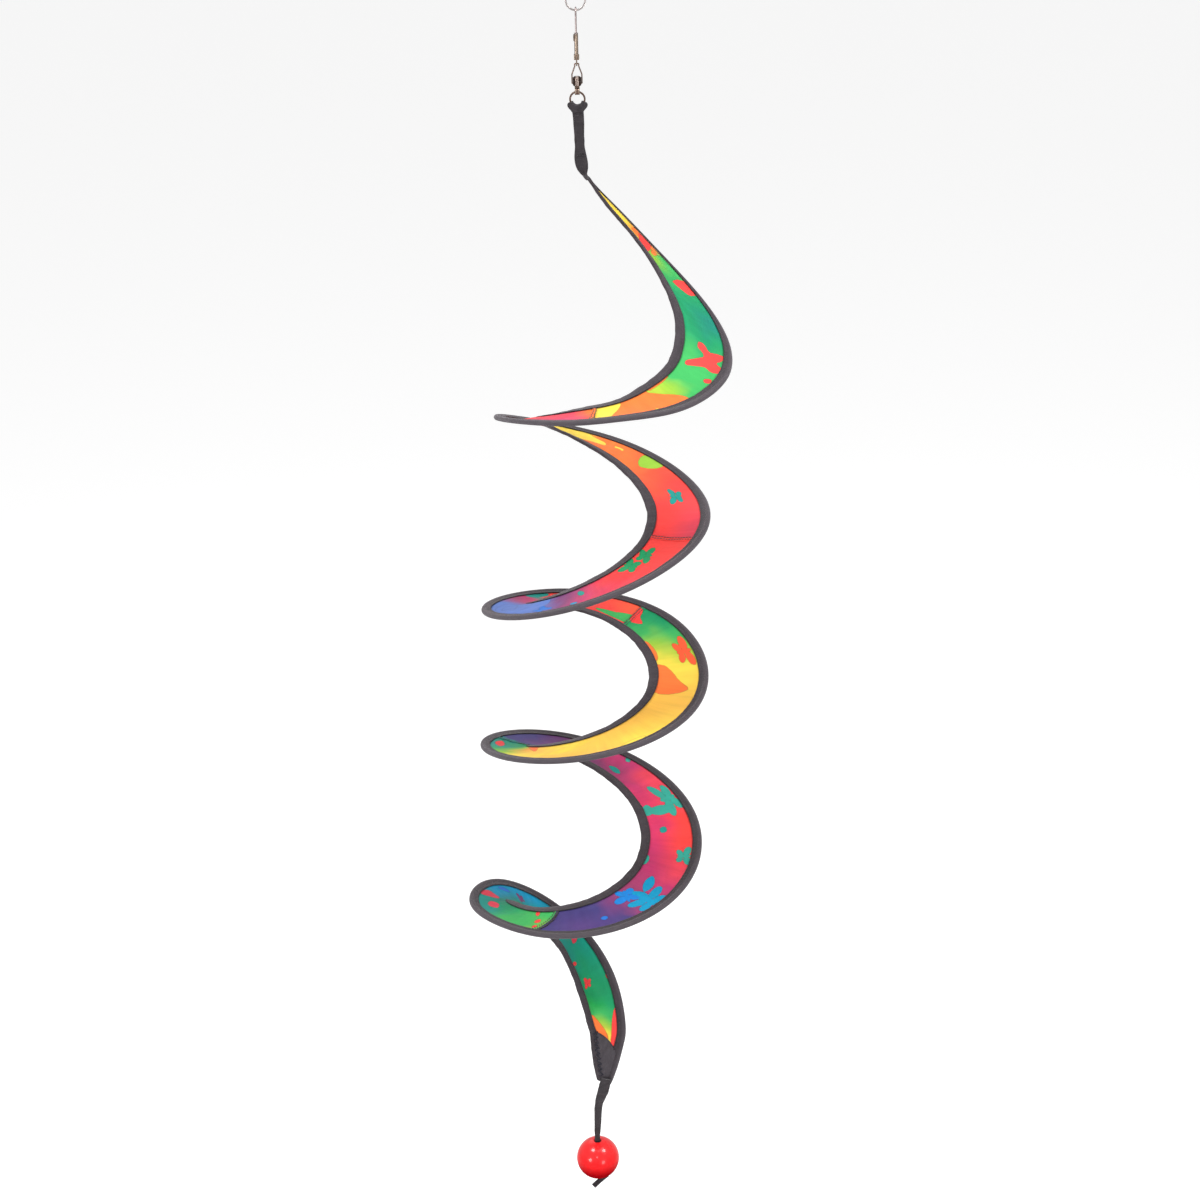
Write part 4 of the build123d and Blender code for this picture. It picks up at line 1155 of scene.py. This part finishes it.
# ------------------------------------------------------------------ straps
def strap_section(wide, thick, groove, ridge, phase):
    """Two layers of tape: a flat oval with a groove along each narrow side."""
    cos, sin = circle(1.0, 40).T
    x = wide / 2 * np.sign(cos) * np.abs(cos) ** 0.42
    y = thick / 2 * np.sign(sin) * np.abs(sin) ** 0.62
    x = x - np.sign(cos) * groove * np.exp(-((sin / 0.22) ** 2)) * (np.abs(cos) > 0.5)
    y = y * (1 + ridge * np.sin(2.4 * x + phase) * (np.abs(cos) < 0.93))
    return x, y


def build_strap(name, stations, step, row, groove, ridge, twist=lambda z: 0.0,
                side_axis=(1, 0, 0)):
    """Folded tape through stations (x, y, z, width, thickness); ridge and twist depend on z."""
    stations = np.array(stations, float)
    length = run_length(stations[:, :3])
    along = np.arange(0, length[-1] + step / 2, step)
    along[-1] = min(along[-1], length[-1])
    dense = spline(length, stations)(along)
    straight = np.stack([np.interp(along, length, stations[:, k]) for k in (3, 4)], 1)
    dense[:, 3:] = 0.5 * dense[:, 3:] + 0.5 * straight
    path = dense[:, :3]
    tangent = np.gradient(path, axis=0)
    tangent /= np.linalg.norm(tangent, axis=1)[:, None]
    side = np.array(side_axis, float) - tangent * (tangent @ np.array(side_axis, float))[:, None]
    side /= np.linalg.norm(side, axis=1)[:, None]
    face = np.cross(tangent, side)
    rings = []
    for i, (here, (_, _, z, wide, thick)) in enumerate(zip(along, dense)):
        x, y = strap_section(
            wide + 0.22 * noise1(here / 3.1, row),
            thick * (1 + 0.09 * noise1(here / 2.6, row + 1)), groove, ridge(z), 0.5 * here)
        y = y + 0.10 * noise2(x / 1.3, here / 3.0, row + 2) + 0.06 * noise1(here / 1.7, row + 3)
        x, y = turned(x, y, -math.degrees(twist(z)))
        rings.append(path[i] + side[i] * x[:, None] + face[i] * y[:, None])
    rings = np.array(rings)
    uv = grid_uv(along, np.arange(40) * 2 * math.pi / 40 * 2.2)
    return build(name, rings.reshape(-1, 3), ring_faces(*rings.shape[:2]), uv, WEBBING)


strap = build_strap("hanger_strap", [
    (0, 0, -63.4, 7.2, 1.75), (0.3, 0, -66.5, 6.9, 1.55), (0.6, 0, -75, 6.5, 1.5),
    (0.9, 0.1, -87, 6.3, 1.6), (1.5, 0.4, -94.5, 8.2, 2.5), (2.5, 0.9, -99.3, 6.6, 2.9),
    (3.3, 2.2, -102.4, 3.6, 2.4), (4.1, 4.6, -104.6, 2.5, 2.0), (5.2, 7.2, -106.8, 1.9, 1.7),
], step=0.45, row=20, groove=0.24, ridge=lambda z: 0.04 + 0.16 * float(smooth(-86, -94, z)))
attach(strap, "spiral", "hanger_tape")


def loop_leg(start, foot, up, share, sign):
    """Curve from the saddle's edge down to the strap, without its first point."""
    end = foot + np.array([0, sign * 0.92, 0])
    leave = start - up * (1.5 + 3.4 * share**6) + np.array([0, -sign * 0.1, 0])
    arrive = end + np.array([0, 0, 1.2])
    return [
        (1 - f) ** 3 * start + 3 * (1 - f) ** 2 * f * leave + 3 * (1 - f) * f * f * arrive
        + f**3 * end
        for f in np.linspace(0, 1, 8)[1:]
    ]


def add_hanger_loop():
    """The strap's loop over the ring: a saddle with a raised ear at each side."""
    shares = np.linspace(-1, 1, 31)
    lines, cores = [], []
    for share in shares:
        angle = share * math.radians(70)
        sin, cos = math.sin(angle), math.cos(angle)
        centre = np.array([RING_RADIUS * sin, 0, RING_Z - RING_RADIUS * cos])
        up = np.array([-sin, 0, cos])
        radius = 1.12 + 0.20 * abs(share) ** 5
        over = [
            centre + radius * (math.sin(a) * up - math.cos(a) * np.array([0, 1.0, 0]))
            for a in np.radians(np.linspace(-8, 188, 15))
        ]
        foot = np.array([share * 3.5, 0.0, -64.9 - 0.25 * (1 - share * share)])
        before = loop_leg(over[0], foot, up, share, -1)[::-1]
        lines.append(before + over + loop_leg(over[-1], foot, up, share, 1))
        cores.append([centre - np.array([0, 0, 1.5])])
    grid = np.array(lines)
    normal = np.cross(np.gradient(grid, axis=0), np.gradient(grid, axis=1))
    normal /= np.linalg.norm(normal, axis=2)[..., None]
    # normals point away from the loop's core
    normal *= np.sign(((grid - np.array(cores)) * normal).sum(-1))[..., None]
    rows, cols = np.arange(grid.shape[0])[:, None], np.arange(grid.shape[1])
    thick = 0.34 + 0.05 * noise1(rows * 0.7 + cols * 0.31, 24) + 0.05 * np.sin(shares * 9)[:, None]
    uv = np.stack(np.meshgrid(cols * 0.45, shares * 3.2), -1).reshape(-1, 2)
    loop = build_slab("hanger_loop", grid + normal * thick[..., None], grid, uv, WEBBING)
    attach(loop, "spiral")


def add_tack_stitches():
    """Rows across the strap, below the loop and at the bulge."""
    tacks = []
    # z, width of the row, half thickness of the strap, middle x
    for z, wide, y, x in ((-66.2, 4.6, 0.83, 0.35), (-67.4, 4.6, 0.82, 0.45),
                          (-89.5, 4.2, 0.93, 1.35), (-90.8, 4.6, 1.0, 1.45)):
        for side in (-1, 1):
            for i in range(4):
                centre = (x - wide / 2 + wide * (i + 0.5) / 4, side * (y + 0.05), z + 0.1 * (i % 2))
                tacks.append((centre, (1.0, 0, 0.06), (0, side, 0), 0.95, 0.15))
    thread = thread_material("hanger_thread", (22, 18, 22))
    attach(build_stitches("stitch_hanger", tacks, thread), "spiral")


add_hanger_loop()
add_tack_stitches()


def tail_twist(z):
    fade = float(smooth(-757, -768, z)) * float(smooth(-800, -788, z))
    return 0.32 * math.sin((z + 757) / 17.0) * fade


# from the patch down through the bead
tail = build_strap("tail_strap", [
    (6.4, -5.4, -746, 7.0, 1.3), (5.0, -4.4, -752, 8.0, 1.5), (3.9, -3.4, -757.6, 8.2, 1.6),
    (2.2, -2.3, -763.5, 7.2, 1.7), (0.5, -1.2, -771, 5.9, 1.9), (-0.3, -0.4, -785, 5.1, 2.0),
    (-0.9, 0, -797, 4.2, 1.8), (-0.8, 0, -816, 3.7, 1.7), (-0.7, 0.5, -828, 3.4, 1.7),
    (-0.3, 1.6, -833.2, 3.0, 1.6),
], step=0.5, row=28, groove=0.25, ridge=lambda z: 0.10, twist=tail_twist)
attach(tail, "tail", "tail_tape")


def add_knot():
    """Trefoil of tape below the bead."""
    turn = np.linspace(0, 2 * math.pi, 121)[:-1]
    centre = np.array([0.4, 2.3, -834.3])
    path = centre + np.stack([
        0.72 * (np.sin(turn) + 2 * np.sin(2 * turn)),
        -0.80 * np.sin(3 * turn),
        0.44 * (np.cos(turn) - 2 * np.cos(2 * turn)),
    ], 1)
    tangent = np.roll(path, -1, 0) - np.roll(path, 1, 0)
    tangent /= np.linalg.norm(tangent, axis=1)[:, None]
    outward = path - centre
    outward = outward - tangent * (outward * tangent).sum(1)[:, None]
    outward /= np.linalg.norm(outward, axis=1)[:, None]
    side = np.cross(tangent, outward)
    section = rounded(1.9, 0.95, 0.42)
    rings = path[:, None] + side[:, None] * section[:, :1] + outward[:, None] * section[:, 1:]
    faces = grid_faces(len(path), len(section), wrap_rows=True, wrap_cols=True)
    uv = grid_uv(run_length(path), np.arange(len(section)) * 0.3)
    knot = build("knot", rings.reshape(-1, 3), faces, uv, WEBBING)
    attach(knot, "tail", "tail_knot")


def add_tail_end():
    """Cut end that leaves the knot."""
    start, stop = np.array([6.0, 2.2, -834.3]), np.array([-4.6, 0.3, -842.8])
    stations = []
    # share of the length, width, thickness
    for share, wide, thick in ((0, 3.0, 1.3), (0.2, 3.3, 1.3), (0.42, 3.5, 1.25),
                               (0.65, 3.7, 1.2), (0.86, 3.8, 1.2), (1.0, 3.85, 1.25)):
        bow = np.array([0, 0.35 * math.sin(3.0 * share), 0.25 * math.sin(3.1 * share)])
        stations.append((*(start + (stop - start) * share + bow), wide, thick))
    end = build_strap("tail_end", stations, step=0.4, row=31, groove=0.3, ridge=lambda z: 0.06,
                      side_axis=(0.61, -0.30, -0.73))
    attach(end, "tail")


add_knot()
add_tail_end()


# ------------------------------------------------------------------ bead
def add_bead():
    """Turned ball with a bore along z and a fillet at each mouth."""
    mouth = BEAD_BORE + BEAD_FILLET
    top = math.acos(mouth / (BEAD_RADIUS - 0.35))
    profile = [
        (BEAD_RADIUS * math.cos(a), BEAD_RADIUS * math.sin(a)) for a in np.linspace(top, -top, 61)]
    bottom_z = -BEAD_RADIUS * math.sin(top)
    fillet = [
        (mouth - BEAD_FILLET * math.sin(a), bottom_z + BEAD_FILLET * (1 - math.cos(a)))
        for a in [math.pi / 2 * k / 8 for k in range(1, 9)]
    ]
    profile += fillet + [(radius, -z) for radius, z in fillet[::-1]]
    radius, z = np.array(profile).T[:, :, None]
    cos, sin = circle(1.0, 96).T
    rings = np.stack([radius * cos + BEAD_X, radius * sin, np.repeat(z + BEAD_Z, 96, 1)], -1)
    faces = grid_faces(len(profile), 96, wrap_rows=True, wrap_cols=True)
    bead = build("ball", rings.reshape(-1, 3), faces, None, LACQUER, sharp=50)
    attach(bead, "ball", "bead")


add_bead()

# ------------------------------------------------------------------ metal fittings
# material, colour, roughness, tarnish colour, tarnish amount, brushing, grime, CAD pieces
PLATINGS = [
    ("nickel_ring", (200, 193, 191), 0.24, (132, 122, 120), 0.45, 0.0, 0.12, ["hang_ring"]),
    ("nickel_wire", (164, 150, 148), 0.26, (104, 88, 86), 0.5, 0.0, 0.2,
     ["snap_wire", "snap_gate"]),
    ("nickel_sheet", (150, 134, 120), 0.28, (92, 74, 62), 0.5, 0.03, 0.25, ["snap_clasp"]),
    ("dark_nickel", (122, 102, 92), 0.26, (70, 52, 46), 0.6, 0.0, 0.35,
     ["swivel_bail", "swivel_stem", "lower_ring"]),
    ("bearing_steel", (200, 200, 200), 0.12, (150, 146, 140), 0.25, 0.0, 0.1,
     ["swivel_balls", "swivel_race"]),
]


def plate(piece, metal):
    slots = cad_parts[piece].data.materials
    slots.clear()
    slots.append(metal)


metals = {}
for name, *finish, pieces in PLATINGS:
    metals[name] = metal_material(name, *finish)
    for piece in pieces:
        plate(piece, metals[name])
# the dark barrel gets a painted highlight: a bright strip down the middle of x, front and back
plate("swivel_barrel", metal_material(
    "barrel_painted_highlight", (70, 54, 48), rough=0.30, tarnish=(34, 26, 24), amount=0.6, grime=0.3,
    middle_highlight=(0.34, 0.28, 0.25)))


def add_fitting(name, points, per_span, section, metal, carrier):
    """Metal detail swept along a smooth curve."""
    parts = sweep(dense_curve(points, per_span), section, (1, 0, 0))
    attach(build(name, *parts, metals[metal]), carrier)


# a raised spine on the barrel's front and back
for side, name in ((-1, "barrel_spine_front"), (1, "barrel_spine_back")):
    spine = [(2.36, -44.75), (2.56, -45.1), (2.60, -46.8), (2.56, -48.7), (2.36, -49.1)]
    add_fitting(name, [(0, side * y, z) for y, z in spine], 8, rounded(0.42, 0.55, 0.18),
                "dark_nickel", "swivel_upper")

# two wraps of wire that make the stem's eye
EYE_RADIUS, EYE_Z = 1.80, -52.85
for side, name in ((-1, "eye_wire_left"), (1, "eye_wire_right")):
    wrap = [
        (side * 1.02, EYE_RADIUS * math.cos(a), EYE_Z + EYE_RADIUS * math.sin(a))
        for a in np.radians(np.linspace(112, 428, 44))[::-1]
    ]
    start = [(side * 1.02, 0.30, -49.85), (side * 1.08, 0.42, -50.45)]
    stop = [(side * 1.08, -0.42, -50.45), (side * 1.02, -0.30, -49.85)]
    add_fitting(name, start + wrap + stop, 3, circle(0.44, 12), "nickel_sheet", "swivel_lower")

# rolled lip at the mouth of the clasp, and ribs that stiffen its lug
lip = [(-1.32, -2.9, -21.6), (-1.42, -1.2, -21.45), (-1.44, 1.2, -21.45), (-1.32, 2.9, -21.6)]
add_fitting("clasp_lip", lip, 8, rounded(3.4, 0.55, 0.26), "nickel_sheet", "snap")
for side, name in ((-1, "lug_rib_left"), (1, "lug_rib_right")):
    rib = [(side * 0.62, 0, -31.2), (side * 0.66, 0, -32.6), (side * 0.60, 0, -34.5)]
    add_fitting(name, rib, 10, rounded(0.7, 1.9, 0.32), "nickel_sheet", "snap")


# ------------------------------------------------------------------ stage, camera, light (metres)
def floor_material():
    """White paper that glows a little, only as the camera sees it."""
    material = bpy.data.materials.new("floor_paper")
    material.use_nodes = True
    tree = material.node_tree
    sockets = tree.nodes["Principled BSDF"].inputs
    sockets["Base Color"].default_value = (0.86, 0.86, 0.86, 1)
    sockets["Emission Color"].default_value = (1, 1, 1, 1)
    sockets["Roughness"].default_value = 0.9
    sockets["Specular IOR Level"].default_value = 0.1
    glow = tree.nodes.new("ShaderNodeMath")
    glow.operation = "MULTIPLY"
    glow.inputs[1].default_value = 0.36
    light_path = tree.nodes.new("ShaderNodeLightPath")
    tree.links.new(light_path.outputs["Is Camera Ray"], glow.inputs[0])
    tree.links.new(glow.outputs[0], sockets["Emission Strength"])
    return material


paper = floor_material()
bpy.ops.mesh.primitive_plane_add(size=60, location=(0, 0, -1.35))
floor = bpy.context.object
floor.name = "floor"
floor.data.materials.append(paper)

lens = bpy.data.cameras.new("cam")
lens.lens, lens.sensor_width, lens.sensor_fit = 67.2, 36.0, "HORIZONTAL"
lens.clip_start, lens.clip_end = 0.02, 60
camera = bpy.data.objects.new("cam", lens)
bpy.context.scene.collection.objects.link(camera)
tilt, roll = math.radians(67.5), math.radians(-1.048)
camera_turn = Matrix.Rotation(tilt, 4, "X") @ Matrix.Rotation(roll, 4, "Z")
camera.matrix_world = Matrix.Translation((0.008, -1.3452, 0.1770)) @ camera_turn
bpy.context.scene.camera = camera


def area_light(name, place, target, size, power):
    light = bpy.data.lights.new(name, "AREA")
    light.shape, light.size, light.energy = "DISK", size, power
    lamp = bpy.data.objects.new(name, light)
    bpy.context.scene.collection.objects.link(lamp)
    lamp.location = place
    aim = Vector(target) - Vector(place)
    lamp.rotation_euler = aim.to_track_quat("-Z", "Y").to_euler()


# Each soft light stands where the bead mirrors it along the camera's axis.
# x and y of the bead's normal in camera axes, disk size, power, distance from the bead
SOFT_LIGHTS = [
    (-0.235, 0.423, 0.56, 14, 1.9), (0.282, 0.394, 0.56, 14, 1.9),
    (-0.357, -0.047, 0.54, 10, 1.9), (0.254, -0.141, 0.54, 10, 1.9),
    (-0.04, 0.10, 0.20, 1.4, 2.0),
]
bead_centre = Vector((BEAD_X, 0, BEAD_Z)) * MM
for i, (x, y, size, power, distance) in enumerate(SOFT_LIGHTS):
    z = math.sqrt(1 - x * x - y * y)
    mirrored = camera_turn.to_3x3() @ Vector((2 * z * x, 2 * z * y, 2 * z * z - 1))
    area_light("soft_%d" % i, bead_centre + mirrored * distance, (0, 0, -0.45), size, power)
area_light("top", (0.2, -0.3, 1.4), target=(0, 0, -0.4), size=1.4, power=8)
area_light("back", (-0.6, 1.5, 0.5), target=(0, 0, -0.5), size=1.2, power=3)

# white world, brighter to the camera than to the product
world = bpy.data.worlds.new("studio")
world.use_nodes = True
tree = world.node_tree
background = tree.nodes["Background"]
background.inputs[0].default_value = (1.0, 1.0, 1.0, 1)
background.inputs[1].default_value = 0.67  # unlinked strength; the link below takes over
light_path = tree.nodes.new("ShaderNodeLightPath")
strength = tree.nodes.new("ShaderNodeMapRange")
strength.inputs["To Min"].default_value = 0.65
strength.inputs["To Max"].default_value = 0.95
tree.links.new(light_path.outputs["Is Camera Ray"], strength.inputs[0])
tree.links.new(strength.outputs[0], background.inputs[1])
bpy.context.scene.world = world
bpy.context.scene.view_settings.view_transform = "Standard"
bpy.context.scene.view_settings.look = "None"

bpy.context.view_layer.update()
